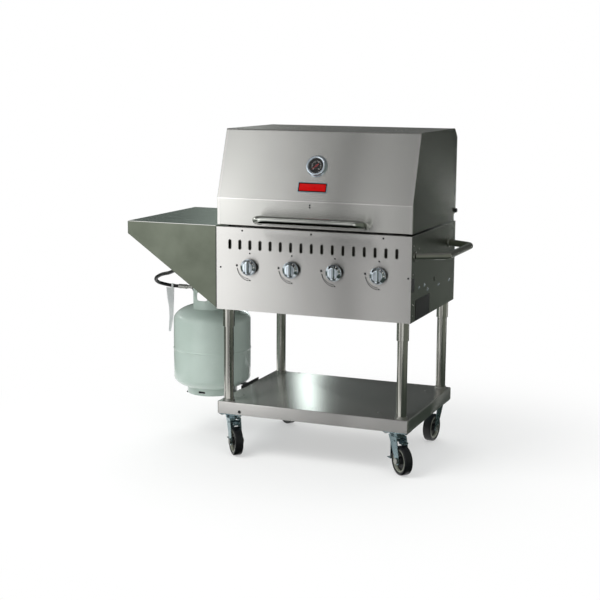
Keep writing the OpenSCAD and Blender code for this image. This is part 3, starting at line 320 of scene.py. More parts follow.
# A finish has a grain, a noise stretched to the given millimetres along X, Y and Z, which tints,
# roughens and, by bump (its strength and its depth in millimetres), lifts the surface, and a
# cloud (its size in millimetres and its share), a slow change towards a third colour
def makeFinish(name, colours, rough, grain, bump, cloud, metallic=0.0, detail=3, scratches=None, **sockets):
    material = bpy.data.materials.new(name)
    material.use_nodes = True
    tree = material.node_tree
    named = {key.replace("_", " "): value for key, value in sockets.items()}
    shader = addNode(tree, tree.nodes["Principled BSDF"], named)
    place = addNode(tree, "TexCoord").outputs["Object"]
    scale = (1000 / np.broadcast_to(grain, 3)).tolist()
    stretch = addNode(tree, "Mapping", {"Scale": scale, "Vector": place})
    fine = addNode(tree, "TexNoise", {"Scale": 1.0, "Detail": detail, "Roughness": 0.6, "Vector": stretch})
    slow = addNode(tree, "TexNoise", {"Scale": 1000 / cloud[0], "Detail": 2.0, "Vector": place})
    level = addNode(tree, "MapRange", {"From Min": 0.3, "From Max": 0.7, "Value": fine})
    drift = addNode(tree, "MapRange", {"From Min": 0.35, "From Max": 0.7, "To Max": cloud[1], "Value": slow})
    first, second, third = [linear(colour) for colour in colours.split()]
    tint = addNode(tree, "Mix", {"data_type": "RGBA", 6: first, 7: second, 0: level})
    tone = addNode(tree, "Mix", {"data_type": "RGBA", 7: third, 0: drift, 6: tint.outputs[2]})
    gloss = addNode(tree, "MapRange", {"To Min": rough[0], "To Max": rough[1], "Value": level})
    addNode(tree, shader, {"Metallic": metallic, "Base Color": tone.outputs[2], "Roughness": gloss})
    if scratches is not None:  # their direction, across which highlights are drawn out
        along = addNode(tree, "CombineXYZ", dict(enumerate(scratches)))
        addNode(tree, shader, {"Tangent": along, "Anisotropic": 1.0, "Anisotropic Rotation": 0.25})
    if bump:
        lift = addNode(tree, "Bump", {"Strength": bump[0], "Distance": bump[1] / 1000, "Height": fine})
        addNode(tree, shader, {"Normal": lift})
    return material


def metalFinish(*look, **others):  # the same for bare and plated metal
    return makeFinish(*look, metallic=1.0, **others)


# Brushed stainless steel: long fine scratches left by a belt, along X on the fronts and along Y on
# the ends. Real ones are 0.1 mm apart, and are drawn 1.5 mm apart to show from close by
brushedFront = metalFinish("brushedStainlessFront", "#DAD9D6 #D8D7D4 #CAC9C6", (0.26, 0.27), (500, 1.8, 1.5),
                           (0.004, 0.03), (420, 0.5), scratches=xAxis)
brushedHood = metalFinish("brushedStainlessHood", "#D6D6D2 #D3D3CF #C6C6C2", (0.25, 0.27), (420, 1.8, 1.5),
                          (0.004, 0.03), (420, 0.5), scratches=xAxis)
# The ends' copy of the same steel is darker and greener than the fronts: painted shade and painted reflection
# of dark surroundings
shadedBrushedEnd = metalFinish("brushedStainlessEnd", "#989D92 #949A8F #868C81", (0.24, 0.27), (1.8, 500, 1.5),
                         (0.01, 0.02), (300, 0.6), scratches=yAxis)
# A brighter, smoother copy of the stainless, for thin strips along bends and edges that are painted
# highlights
highlightEdge = metalFinish(
    "rubbedStainlessEdge", "#E2E1DE #DBDAD7 #D2D1CE", (0.10, 0.16), (300, 2, 2), (0.01, 0.01), (200, 0.4))
# Satin stainless sheet, cold rolled and not brushed: soft gloss with faint roll marks
satinSheet = metalFinish(
    "satinStainlessSheet", "#8F938A #83877E #747A72", (0.30, 0.42), (200, 200, 6), (0.03, 0.03), (260, 0.5))
satinShelf = metalFinish("satinStainlessShelf", "#95A49A #88978D #7A8B81", (0.20, 0.28), (420, 2.4, 2.4),
                         (0.03, 0.03), (300, 0.5), scratches=xAxis)
satinGusset = metalFinish(
    "satinStainlessGusset", "#787E71 #6E7467 #63695C", (0.34, 0.46), (120, 3, 120), (0.03, 0.03), (260, 0.5))
# Pressed steel liner and trays, and burner tubes: dull, with heat stains
linerSteel = metalFinish(
    "rolledLinerSteel", "#7E7D78 #6C6B66 #5A554C", (0.38, 0.55), 60, (0.06, 0.05), (120, 0.8))
burnerSteel = metalFinish(
    "heatTintedBurnerSteel", "#8B8273 #7A6F60 #6B5848", (0.34, 0.5), (4, 40, 4), (0.08, 0.05), (70, 0.8))
# Cast iron with a matt enamel: pitted at about 1.5 mm, near black
grateIron = makeFinish(
    "enamelledCastIron", "#2B2A29 #1F1E1E #3A332C", (0.42, 0.62), 1.6, (0.35, 0.25), (90, 0.4), detail=5)
# Polished tube: a clear mirror with draw marks along it
polishedTube = metalFinish(
    "polishedTube", "#CBCAC4 #BDBCB5 #A6A69D", (0.14, 0.2), (2, 2, 200), (0.01, 0.01), (140, 0.5))
handleSteel = metalFinish(
    "satinHandleTube", "#C9CBC6 #BDBFB9 #A9ACA5", (0.10, 0.16), (200, 3, 3), (0.01, 0.01), (120, 0.5))
# Bright chrome plate over zinc castings
knobChrome = metalFinish("brightChrome", "#DCE4EA #D0DAE2 #BECAD4", (0.05, 0.10), 12, (0.02, 0.02), (40, 0.4))
# Blue-passivated zinc plate: pale blue grey, with the slight mottling of barrel plating
zincPlate = metalFinish(
    "bluePassivatedZinc", "#9DB0B4 #879DA3 #6E858C", (0.20, 0.32), 9, (0.08, 0.05), (45, 0.6), detail=4)
# Solid rubber tyre: near black and matt, with the bloom of the mould
casterRubber = makeFinish(
    "mouldedTyreRubber", "#0C0D10 #08090B #14171B", (0.30, 0.42), 1.5, (0.12, 0.08), (60, 0.5), IOR=1.52)
wheelCore = makeFinish(
    "mouldedRimPolymer", "#8F9284 #84877A #747769", (0.34, 0.46), 1.2, (0.06, 0.05), (40, 0.4), IOR=1.53)
# Semi-gloss enamel sprayed on the cylinder: orange peel about 2 mm across
cylinderPaint = makeFinish(
    "sprayedCylinderEnamel", "#C3D2C9 #BACAC1 #ADBEB4", (0.30, 0.40), 2.2, (0.10, 0.06), (130, 0.5),
    IOR=1.5, Coat_Weight=0.7, Coat_Roughness=0.06)
# Turned brass, moulded nylon and a die-cast alloy: even, with the tool's or the mould's own grain
brass = metalFinish("turnedBrass", "#C9A765 #B8935A #8C7145", (0.22, 0.36), 3, (0.06, 0.03), (20, 0.6))
blackPlastic = makeFinish(
    "mouldedBlackNylon", "#191A1B #131415 #222426", (0.36, 0.5), 0.8, (0.10, 0.05), (30, 0.4), IOR=1.53)
regulatorAlloy = metalFinish(
    "dieCastZincAlloy", "#8E9092 #7F8183 #6D6F72", (0.36, 0.52), 1.2, (0.15, 0.08), (40, 0.4))
hoseRubber = makeFinish(
    "extrudedHoseRubber", "#0A0A0B #070708 #101112", (0.42, 0.55), 1.5, (0.10, 0.06), (50, 0.4), IOR=1.52)
# Powder coat: a fine texture about 1.4 mm across. Bolts are blackened, and screws are bright
blackPaint = makeFinish(
    "powderCoatedBlack", "#121314 #0D0E0F #1B1D1F", (0.34, 0.48), 1.4, (0.12, 0.08), (70, 0.4), IOR=1.5)
boltSteel = metalFinish(
    "blackenedBoltSteel", "#3A3C3C #2C2E2F #1F2021", (0.28, 0.42), 2, (0.08, 0.04), (12, 0.5))
screwSteel = metalFinish(
    "brightScrewSteel", "#B8B8B3 #A5A6A1 #8E908B", (0.2, 0.34), 2, (0.05, 0.03), (10, 0.4))
# Vitreous enamel in the badge and on the dial, and the red lacquer of the needle: smooth and deep
badgeEnamel = makeFinish(
    "redVitreousEnamel", "#BE0304 #AE0203 #960102", (0.25, 0.35), 5, (0.04, 0.03), (30, 0.5),
    Specular_IOR_Level=0.08)
needleRed = makeFinish("redLacquer", "#D0141C #C21018 #B00E15", (0.3, 0.4), 3, (0.02, 0.01), (8, 0.3))
blackEnamel = makeFinish("blackDialEnamel", "#0C0D0E #090A0B #121415", (0.2, 0.3), 3, (0.03, 0.02), (20, 0.4),
                         Specular_IOR_Level=0.12)
# Screen-printed ink: flat and matt
whiteInk = makeFinish("whitePrintInk", "#E8E8E4 #DEDEDA #D4D4D0", (0.45, 0.6), 1, (0.03, 0.01), (8, 0.4))
blackInk = makeFinish("blackPrintInk", "#1E1E1E #171717 #242424", (0.4, 0.55), 1, (0.03, 0.01), (8, 0.4))
windowGlass = makeFinish("floatGlass", "#FFFFFF #FFFFFF #FBFFFD", (0.0, 0.02), 20, None, (20, 0.2),
                         IOR=1.5, Specular_IOR_Level=0.04, Transmission_Weight=1.0)
tagFilm = makeFinish(
    "frostedLabelFilm", "#EDEFEE #E2E6E5 #D6DCDB", (0.3, 0.45), (6, 2, 14), (0.15, 0.1), (40, 0.5),
    IOR=1.49, Transmission_Weight=0.35)
print("finishes made:", len(bpy.data.materials))


# The hose comes with the camera, before the other pieces

hose = {
    "points": [(-490, -262, 704), (-508, -262, 704), (-530, -260, 702), (-550, -255, 699),
               (-569, -246, 694), (-587, -233, 688), (-605, -215, 681), (-626, -192, 673),
               (-650, -167, 665), (-676, -143, 658), (-702, -121, 650), (-726, -100, 640), (-744, -82, 631),
               (-756, -66, 623), (-764, -51, 615), (-768, -35, 607), (-768, -18, 599), (-762, -2, 593),
               (-752, 11, 588), (-738, 20, 584), (-720, 24, 582), (-700, 24, 582)],
    "diameter": 14, "length": 500,
}


def dress(node, finish):  # a CAD node that stays as it is, in a finish of its own
    piece = frame["nodes"][node]
    piece.data.materials.clear()
    piece.data.materials.append(finish)
    return piece


hosePath = smoothLine(hose["points"])
hoseTube = tubeAlong(hosePath, hose["diameter"] / 2, 24)
hosePiece = addPiece("gasHosePiece", hoseTube, hoseRubber, "hose_rubber", ["gas_hose"])
dress("hose_tag", tagFilm)
print("hose and tag made")


# The hood

hood = {
    "line": [(-281, 0), (-281, 99), (-193, 352), (247, 352), (283, 319), (283, 48)], "bends": (3, 10, 5, 6),
    "sheet": 1.5, "halfWidth": 379, "hem": 9, "seam": 11, "seamProud": 0.35, "tilt": 19.178,
    "rivets": [(-10, 78), (-10, 86)], "rivetSize": (3.2, 1.5),
}
hoodFront, hoodCrest = hood["line"][1]
hoodUp = np.array([0, sin(radians(hood["tilt"])), cos(radians(hood["tilt"]))])
hoodOut = np.cross(xAxis, hoodUp)


def onSlope(shape, x, rise):  # moved onto the hood's sloping front, rise millimetres above its lower edge
    y = hoodFront + (rise - hoodCrest) * tan(radians(hood["tilt"]))
    return placed(shape, (x, y, hoodFoot + rise), xAxis, hoodUp, hoodOut)


def makeHoodShell(spec):  # the sheet's bent line with a hem turned in along the front's lower edge
    first = (spec["line"][0][0] + spec["hem"], spec["line"][0][1])
    line = roundedLine([first] + spec["line"], (2,) + spec["bends"])
    shell = bentSheet(line[::-1], -spec["sheet"], -spec["halfWidth"], spec["halfWidth"])
    return alongX(shell, (0, 0, hoodFoot))


def makeHoodSeams(spec):  # the end caps' lips, lapped over the shell at both sides of the front
    line = roundedLine(spec["line"][:4] + [(283, 319)], spec["bends"][:3])[:-1]
    w = spec["halfWidth"] + 0.5
    return alongX(together(*[bentSheet(line[::-1], spec["seamProud"], low, low + spec["seam"])
                             for low in (-w, w - spec["seam"])]), (0, 0, hoodFoot))


def domes(places, radius, height, out, side):  # round rivet or screw heads: quarter ellipses turned round
    crown = [(r, height * 0.25 + z) for r, z in arc(0, 0, radius, 0, 90, 7, height * 0.75)]
    head = revolved([(radius, 0)] + crown + [(0, height)], 20)
    return together(*[placed(head, at, side, np.cross(out, side), out) for at in places])


addPiece("hoodShellPiece", makeHoodShell(hood), brushedHood, "brushed_stainless", ["hood_shell"], "hood",
         bevel=0.4)
addPiece("hoodSeamPiece", makeHoodSeams(hood), brushedFront, "brushed_stainless", body="hood", bevel=0.15)
paintedHighlights = {  # strips painted bright, as painted highlights, on the crest of the lower bend and on the corner of the right end
    "crest": [(-281.2, 96.2), (-281.2, 99), (-280.2, 101.9)], "bend": 8, "proud": 0.3,
    "corner": [(377.9, -281.6), (381.2, -278.3), (380.6, -277.7), (377.3, -281.0)], "cornerRise": (2, 98),
}
crestLine = roundedLine(paintedHighlights["crest"], paintedHighlights["bend"])[::-1]
crest = bentSheet(crestLine, paintedHighlights["proud"], -hood["halfWidth"], hood["halfWidth"])
corner = slab(paintedHighlights["corner"], *[hoodFoot + rise for rise in paintedHighlights["cornerRise"]])
rivets = domes([(x, hoodFront, hoodFoot + z) for x, z in hood["rivets"]], *hood["rivetSize"], -yAxis, xAxis)
# Painted highlights: a bright strip on the crest of the bend, and one on the corner of the right end
addPiece("hoodCrestPiece", alongX(crest, (0, 0, hoodFoot)), highlightEdge, "brushed_stainless", body="hood",
         smooth=60)
addPiece("hoodCornerPiece", corner, highlightEdge, "brushed_stainless", body="hood")
addPiece("hoodRivetPiece", rivets, boltSteel, "brushed_stainless", body="hood")
roundedNode("hood_ends", shadedBrushedEnd, 0.7)

handle = {"span": 412, "grip": 412, "reach": 62, "radius": 15, "bend": 34, "root": 3,
          "place": (0, -281, hoodFoot + 20), "tilt": -11}


# A tube bent between two feet in its own X and Y: its ends go back by root along its arms
def makeBar(spec, sides, axes):
    a, g = spec["span"] / 2, spec["grip"] / 2
    backX, backY = spec["root"] * np.array([a - g, spec["reach"]]) / hypot(a - g, spec["reach"])
    line = [(a + backX, backY, 0), (g, -spec["reach"], 0), (-g, -spec["reach"], 0), (-a - backX, backY, 0)]
    return placed(tubeAlong(roundedLine(line, spec["bend"], 14), spec["radius"], sides), spec["place"], *axes)


bar = makeBar(handle, 40, turned(handle["tilt"], aboutX=True))
addPiece("hoodHandlePiece", bar, handleSteel, "handle_steel", ["hood_handle"], "hood", smooth=50)

gauge = {"rise": 225, "radius": 39, "window": 27, "tall": 14, "floor": 4, "marks": 21, "sweep": (-140, 140)}


def makeGaugeCase(spec):  # a turned cup: its wall swells to a rolled bezel round the window
    r, w, h = spec["radius"], spec["window"], spec["tall"]
    bezel = arc(w + 5.8, h - 5.2, 5.8, degrees(-0.35), 180 * 0.98, 13, 5.2)
    outside = [(0, -50), (5, -50), (5, 0), (r + 2, 0), (r + 2, 1.2), (r + 1, 2.4), (r - 0.8, 3.4),
               (r - 0.8, h - 7)]
    inside = [(w, h - 4), (w, spec["floor"]), (0, spec["floor"])]
    return onSlope(revolved(outside + bezel + inside, 72), 0, spec["rise"])


def makeGaugeMarks(spec):  # radial marks, every fourth one longer, and an arc inside them
    w, z, marks = spec["window"], spec["floor"] + 0.7, []
    for i, angle in enumerate(np.linspace(*spec["sweep"], spec["marks"])):
        inset, half = (14, 0.7) if i % 4 == 0 else (11.5, 0.35)
        mark = block((w - inset, -half, z), (w - 9.2, half, z + 0.3))
        marks.append(placed(mark, (0, 0, 0), *turned(90 - angle)))
    start, end = (90 - angle for angle in spec["sweep"])
    ring = placed(ringSector(w - 8.8, w - 8.3, start, end, 0.3, 59), (0, 0, z))
    return onSlope(together(ring, *marks), 0, spec["rise"])


# A flat arc with a thickness. A radius may be a pair, from its start to its end
def ringSector(inner, outer, start, end, tall, steps=24):
    a = np.radians(np.linspace(start, end, steps + 1))
    r0, r1 = (np.linspace(*np.broadcast_to(r, 2), steps + 1) for r in (inner, outer))
    corner = [np.column_stack([r * np.cos(a), r * np.sin(a), np.full(len(a), z)])
              for r, z in ((r0, 0), (r1, 0), (r1, tall), (r0, tall))]
    return surface(np.stack(corner, 1), caps=True)


def makeGaugeFace(spec):  # a thin disc at the floor of the case
    low, edge = spec["floor"], spec["window"] - 0.1
    disc = revolved([(0, low), (edge, low), (edge, low + 0.6), (3, low + 0.6), (0, low + 0.6)], 64)
    return onSlope(disc, 0, spec["rise"])


addPiece("gaugeCasePiece", makeGaugeCase(gauge), knobChrome, "gauge_chrome", ["gauge_case"], "hood",
         smooth=50)
addPiece("gaugeFacePiece", makeGaugeFace(gauge), blackEnamel, "gauge_chrome", body="hood")
addPiece("gaugeMarksPiece", makeGaugeMarks(gauge), whiteInk, "gauge_chrome", body="hood")
roundedNode("gauge_needle", needleRed, 0.15)
roundedNode("gauge_lens", windowGlass, 0.3)

badge = {"place": (-6, 149), "width": 116, "height": 40, "tall": 3.4, "crown": 0.8}


def makeBadge(spec):  # a chrome frame, a black step, and a red enamel field crowned as (1 - u^2)(1 - v^2)
    w, h, t = spec["width"], spec["height"], spec["tall"]
    rim = [(0.4, 0), (0, 0.4), (0, t - 0.7), (0.5, t), (2.8, t), (3.4, t - 0.6), (3.4, 0.6)]
    step = stackedRect(w - 6.8, h - 6.8, 1.5, [(0, 0.2), (0, t - 1.0), (0.5, t - 0.8), (4.2, t - 0.8)])
    u, v = np.meshgrid(np.linspace(-1, 1, 25), np.linspace(-1, 1, 13))
    crown = t - 0.7 + spec["crown"] * (1 - u ** 2) * (1 - v ** 2)
    top = np.stack([u * (w / 2 - 7.2), v * (h / 2 - 7.2), crown], -1)
    edges = (top[0], top[-1], top[:, 0], top[:, -1])
    walls = [np.array([edge, edge * (1, 1, 0) + (0, 0, t - 1.2)]) for edge in edges]
    sheets = [top, top * (1, 1, 0) + (0, 0, t - 1.2)] + walls
    field = together(*[surface(sheet, closeColumns=False) for sheet in sheets])
    return stackedRect(w, h, 3, rim, closed=True), step, field


badgeNames = ("badgeFramePiece", "badgeStepPiece", "badgeFieldPiece")
for name, shape, finish in zip(badgeNames, makeBadge(badge), (knobChrome, blackEnamel, badgeEnamel)):
    replaced = ["badge_plate"] if name == badgeNames[-1] else ()
    addPiece(name, onSlope(shape, *badge["place"]), finish, "badge_red", replaced, "hood")
roundedNode("hinge_pins", blackPaint, 0.6)
print("hood made")


# The firebox

plain = {  # CAD nodes that keep their shape: their finish and the radius of their edges
    "control_panel": (brushedFront, 0.6), "side_panel_left": (shadedBrushedEnd, 0.6),
    "side_panel_right": (shadedBrushedEnd, 0.6), "back_panel": (satinSheet, 0.6),
    "firebox_liner": (linerSteel, 0.4), "heat_plates": (burnerSteel, 0.4), "burners": (burnerSteel, 0.4),
    "drip_tray": (linerSteel, 0.4), "tray_rails": (linerSteel, 0.4), "cooking_grates": (grateIron, 1.2),
    "gas_manifold": (blackPaint, 0.4), "gas_valves": (brass, 0.5), "data_plate": (blackPaint, 0.3),
}
for node, look in plain.items():
    roundedNode(node, *look)

vents = {"count": 17, "pitch": 40.75, "z": boxFoot + 248, "width": 10, "height": 35, "rim": 2.0, "proud": 0.7}


def stadium(width, height, steps=10):  # the outline of a slot with round ends
    t = np.linspace(0, pi, steps + 1)
    r, h = width / 2, (height - width) / 2
    end = np.column_stack([r * np.cos(t), h + r * np.sin(t)])
    return np.vstack([end, -end])


def makeVentRims(spec):  # the pressed lips round the slots: a half-round bead along each outline
    beads = []
    for a in np.linspace(0, pi, 6):
        out = spec["rim"] * (1 - cos(a))
        outline = stadium(spec["width"] + out, spec["height"] + out)
        beads.append(np.column_stack([outline, np.full(len(outline), spec["proud"] * sin(a))]))
    middle = (spec["count"] - 1) / 2
    places = [(i - middle) * spec["pitch"] for i in range(spec["count"])]
    return together(*[onFront(surface(np.array(beads)), x, spec["z"]) for x in places])


addPiece("ventRimPiece", makeVentRims(vents), screwSteel, "panel_stainless", smooth=60)

screws = {  # their places on each face, and the radius and height of a head
    "front": [(-276, 301), (-1, 301), (275, 301), (370, 163), (-364, 160)], "frontHead": (3.5, 1.9),
    "endBolts": [(-123, 116), (-188, 116), (-79, 93), (64, 92), (211, 89)], "endBoltHead": (6.2, 2.0),
    "endScrews": [(-220, 226), (-199, 260), (-262, 277), (-266, 175), (-261, 63), (-264, 24)],
    "endHead": (4, 1.9),
    "shelf": [(-271, 276), (-336, 190), (-327, -165), (241, -210), (240, 270), (302, 190)],
    "shelfHead": (5, 1.9),
}


# Six-sided heads with a chamfer, on a washer if any
def hexHeads(places, radius, height, out, side, washer=0.0):
    head = revolved([(radius, washer), (radius, height * 0.8), (radius * 0.86, height), (0, height)], 6)
    if washer:
        ring = [(radius * 1.25, 0), (radius * 1.25, washer * 0.7), (radius * 1.18, washer), (0, washer)]
        head = together(head, revolved(ring, 28))
    return together(*[placed(head, at, side, np.cross(out, side), out) for at in places])


front = [(x, frontY, boxFoot + z) for x, z in screws["front"]]
bolts, ends = ([(endX, y, boxFoot + z) for y, z in screws[key]] for key in ("endBolts", "endScrews"))
frontScrews = domes(front, *screws["frontHead"], -yAxis, xAxis)
endBolts = hexHeads(bolts, *screws["endBoltHead"], xAxis, yAxis, 0.6)
endScrews = domes(ends, *screws["endHead"], xAxis, yAxis)
shelfScrews = domes([(x, y, deckTop) for x, y in screws["shelf"]], *screws["shelfHead"], zAxis, xAxis)
addPiece("frontScrewPiece", frontScrews, boltSteel, "black_bolt", ["panel_screws"])
addPiece("endBoltPiece", endBolts, knobChrome, "black_bolt")
addPiece("endScrewPiece", endScrews, screwSteel, "black_bolt")
# On the right end: the corners of a black block that fills the slot as painted shade, and of a bright strip
# along the panel's upper edge, a painted highlight on its flange
slotShade = (endX - 0.8, -284, boxFoot + 111), (endX + 0.4, -248, boxFoot + 159)
endHighlight = (endX - 0.4, -286, boxTop - 1.4), (endX + 0.3, 286, boxTop + 0.1)
addPiece("panelSlotShadePiece", block(*slotShade), blackPlastic, "black_bolt", bevel=0.4)
addPiece("panelEndHighlightPiece", block(*endHighlight), highlightEdge, "dark_stainless")
addPiece("shelfScrewPiece", shelfScrews, screwSteel, "black_bolt")

sideHandle = {
    "span": 444, "grip": 320, "reach": 103, "radius": 12.5, "bend": 36, "root": -0.2,
    "place": (endX, -22, boxFoot + 237),
    "seatRadius": 18, "seat": 3,
}


def makeSideSeats(spec):  # flanges welded to the tube's ends
    r, t, (x, y, z) = spec["seatRadius"], spec["seat"], spec["place"]
    flange = revolved([(0, 0), (r, 0), (r, t * 0.5), (r - 1.5, t), (0, t)], 36)
    return together(*[alongX(flange, (x, y + way * spec["span"] / 2, z)) for way in (-1, 1)])


addPiece("sideHandlePiece", makeBar(sideHandle, 36, turned(90)), polishedTube, "handle_steel",
         ["side_handle"], smooth=50)
addPiece("sideHandleSeatPiece", makeSideSeats(sideHandle), screwSteel, "handle_steel")

shelf = {"left": -758, "right": -endX, "halfDepth": -frontY, "top": boxTop + 4, "edge": 49, "sheet": 1.5,
         "bends": (3.5, 1.6), "hem": 8}


def makeSideShelf(spec):  # a deck whose left edge is bent down, with a hem along its foot
    left, top, foot = spec["left"], spec["top"], spec["top"] - spec["edge"]
    corners = [(spec["right"], top), (left, top), (left, foot), (left + spec["hem"], foot)]
    line = roundedLine(corners, spec["bends"])
    sheet = bentSheet(line, -spec["sheet"], -spec["halfDepth"], spec["halfDepth"])
    return placed(sheet, (0, 0, 0), xAxis, zAxis, yAxis)


# The corners of a black strip in the gap between the gusset and the panel, which is painted shadow, and of a
# bright strip along the shelf's front edge, a painted highlight on its fold
seam = [((-384.6, -287.5, boxFoot + 10), (-381.4, -287.2, boxTop - 2)),
        ((-384.6, -287.5, boxFoot + 4), (-381.4, -285, boxFoot + 10))]
rim = (shelf["left"] + 2, -287.4, shelf["top"] - 2.0), (-384.8, -287.0, shelf["top"] - 0.3)
addPiece("gussetSeamPiece", together(*[block(*ends) for ends in seam]), blackPaint, "dark_stainless")
addPiece("sideShelfHighlightPiece", block(*rim), highlightEdge, "dark_stainless")
addPiece("sideShelfPiece", makeSideShelf(shelf), satinShelf, "dark_stainless", ["side_shelf"], bevel=0.35)
roundedNode("shelf_gussets", satinGusset, 0.5)
print("firebox, side handle and side shelf made")


# The knobs

knob = {
    "xs": (-244.75, -76.25, 92.25, 260.75), "back": -291, "z": boxFoot + 167, "radius": 31, "tall": 32,
    "gripHalfWidth": 7.5, "gripHalfLength": 28, "gripFoot": 15, "fields": (64, 34, 4), "fieldSize": 9.0,
}


def makeKnobNeck():  # the moulded insert behind the skirt, which the stem goes into
    return revolved([(0, 0.2), (28.6, 0.2), (30.0, 1.6), (30.0, 9.4), (29.2, 10.2), (29.2, 10.8), (0, 10.8)])


def makeKnobBody(spec):  # a turned skirt with a rolled rim, a cone and a hub that the grip stands on
    r = spec["radius"]
    cone = [(r - 2.6, 13.8), (r - 3.4, 15.6), (r - 4.6, 16.6), (22.4, 17.6), (21.6, 18.8), (20.4, 20.3),
            (18.6, 20.9), (0, 20.9)]
    return revolved([(0, 10.2)] + arc(r - 1.5, 11.7, 1.5, -90, 90, 7) + cone, 64)


# The grip: across it, a superellipse of power 4; along it, the width draws in and the top falls
# towards the ends as 1 - 0.16 s^2 and 1 - 0.16 s^4
def makeKnobGrip(spec):
    t, s = np.meshgrid(np.linspace(0, pi, 17), np.linspace(-1, 1, 33), indexing="xy")
    end = np.sqrt(np.clip(1 - np.abs(s) ** 7, 0, 1))
    width = spec["gripHalfWidth"] * (1 - 0.16 * s ** 2) * (0.35 + 0.65 * end)
    across = np.sign(np.cos(t)) * np.abs(np.cos(t)) ** 0.5 * width
    height = (spec["tall"] - spec["gripFoot"]) * (1 - 0.16 * s ** 4) * (0.55 + 0.45 * end)
    rise = np.abs(np.sin(t)) ** 0.5 * height
    return surface(np.stack([across, s * spec["gripHalfLength"], spec["gripFoot"] + rise], -1), caps=True)


# Blocks across the skirt's cone, at each field's angle
def makeKnobFields(spec, start, end, foot, top, half):
    field = block((start, -half, foot), (end, half, top))
    return together(*[placed(field, (0, 0, 0), *turned(angle)) for angle in spec["fields"]])


fields = makeKnobFields(knob, 21.8, 28.4, 16.6, 17.3, knob["fieldSize"] / 2)
fieldMarks = makeKnobFields(knob, 22.8, 27.6, 17.2, 17.5, 0.9)
knobParts = [
    ("Neck", makeKnobNeck(), blackPlastic, {"smooth": 45}), ("Body", makeKnobBody(knob), knobChrome,
                                                             {"smooth": 45}),
    ("Grip", makeKnobGrip(knob), knobChrome, {"smooth": 60}), ("Fields", fields, blackInk, {"bevel": 0.2}),
    ("Marks", fieldMarks, whiteInk, {})]
for number, x in enumerate(knob["xs"], 1):
    node = f"knob_{number}"
    for name, shape, finish, look in knobParts:
        addPiece(f"knob{name}{number}", onFront(shape, x, knob["z"], knob["back"]), finish, "knob_chrome",
                 [node] if name == "Body" else (), node, **look)
    roundedNode(f"valve_stem_{number}", brass, 0.3)

panelMarks = {"radius": 50.5, "outer": 51.5, "inner": 44, "line": 2.2, "tall": 0.25, "dot": 3.2, "star": 6.0}


# A wedge of two arcs that open from nine o'clock to six, a star at nine, and two dots
def makePanelMarks(spec):
    keys = ("radius", "outer", "inner", "line", "tall", "dot")
    r, outer, inner, line, tall, dot = (spec[key] for key in keys)
    a = np.arange(12) * pi / 6
    ray = spec["star"] * np.where(np.arange(12) % 2 == 0, 1, 0.6)
    dots = slab(roundRect(2 * dot, 2 * dot, dot, 6), 0, tall)
    marks = together(
        ringSector((r - 1, inner), (r, inner + line), 188, 262, tall),
        ringSector((r, outer), (r + line, outer + line), 188, 262, tall),
        ringSector(inner, outer + line, 261, 263, tall, 3),
        placed(slab(np.column_stack([ray * np.cos(a), ray * np.sin(a)]), 0, tall), (-r - 2, 3, 0)),
        placed(dots, (0, r, 0)), placed(dots, (0, -r, 0)))
    return together(*[onFront(marks, x, knob["z"]) for x in knob["xs"]])


addPiece("panelMarksPiece", makePanelMarks(panelMarks), blackInk, "panel_stainless")
print("knobs and panel made")


# The cart

cart = {
    "shelf": (762, 574, 6), "top": deckTop, "foot": shelfFoot, "sheet": 1.5, "bend": 3.5, "boxFoot": boxFoot,
    "legs": [(sx * 345, sy * 257, 0) for sx in (-1, 1) for sy in (-1, 1)], "legRadii": (17.5, 19),
    "socketRadii": (19.2, 22.5), "socketLength": 69, "collarRadius": 23.2, "collarHeight": 8,
    "flangeHole": (-288, 12, 5.5),
}


def makeLowerShelf(spec):  # a pressed deck: a crowned bend into the skirt, and a hem inside the skirt's foot
    width, depth, radius = spec["shelf"]
    top, foot, sheet, r = spec["top"], spec["foot"], spec["sheet"], spec["bend"]
    angles = np.linspace(0, pi / 2, 7)
    bend = [(r * (1 - sin(a)), top - r * (1 - cos(a))) for a in angles]
    under = [(inset + sheet * sin(a), z - sheet * cos(a)) for (inset, z), a in zip(bend[::-1], angles[::-1])]
    hem = [(0, foot + 0.6), (0.6, foot), (6.4, foot), (7, foot + 0.6), (7, foot + 1.2), (1.5, foot + 1.5)]
    return stackedRect(width, depth, radius, bend + hem + under, 6)


def atEach(places, shape):  # the same shape at each place
    return together(*[placed(shape, at) for at in places])


def pipe(radii, low, high, edge=0.8):  # a pipe's wall with eased outer edges
    inner, outer = radii
    return closedRing([(inner, low), (outer - edge, low), (outer, low + edge), (outer, high - edge),
                       (outer - edge, high), (inner, high)])


def makeCollar(spec):  # a ring with a quarter-round upper edge
    inner, r, low = spec["socketRadii"][0], spec["collarRadius"], spec["top"]
    high = low + spec["collarHeight"]
    return closedRing([(inner, low), (r, low)] + arc(r - 2, high - 2, 2, 0, 90, 5) + [(inner, high)])


x, z, r = cart["flangeHole"]
holeRing = closedRing([(r, 0), (r, 0.5), (r + 0.8, 0.7), (r + 1.5, 0)], 32)
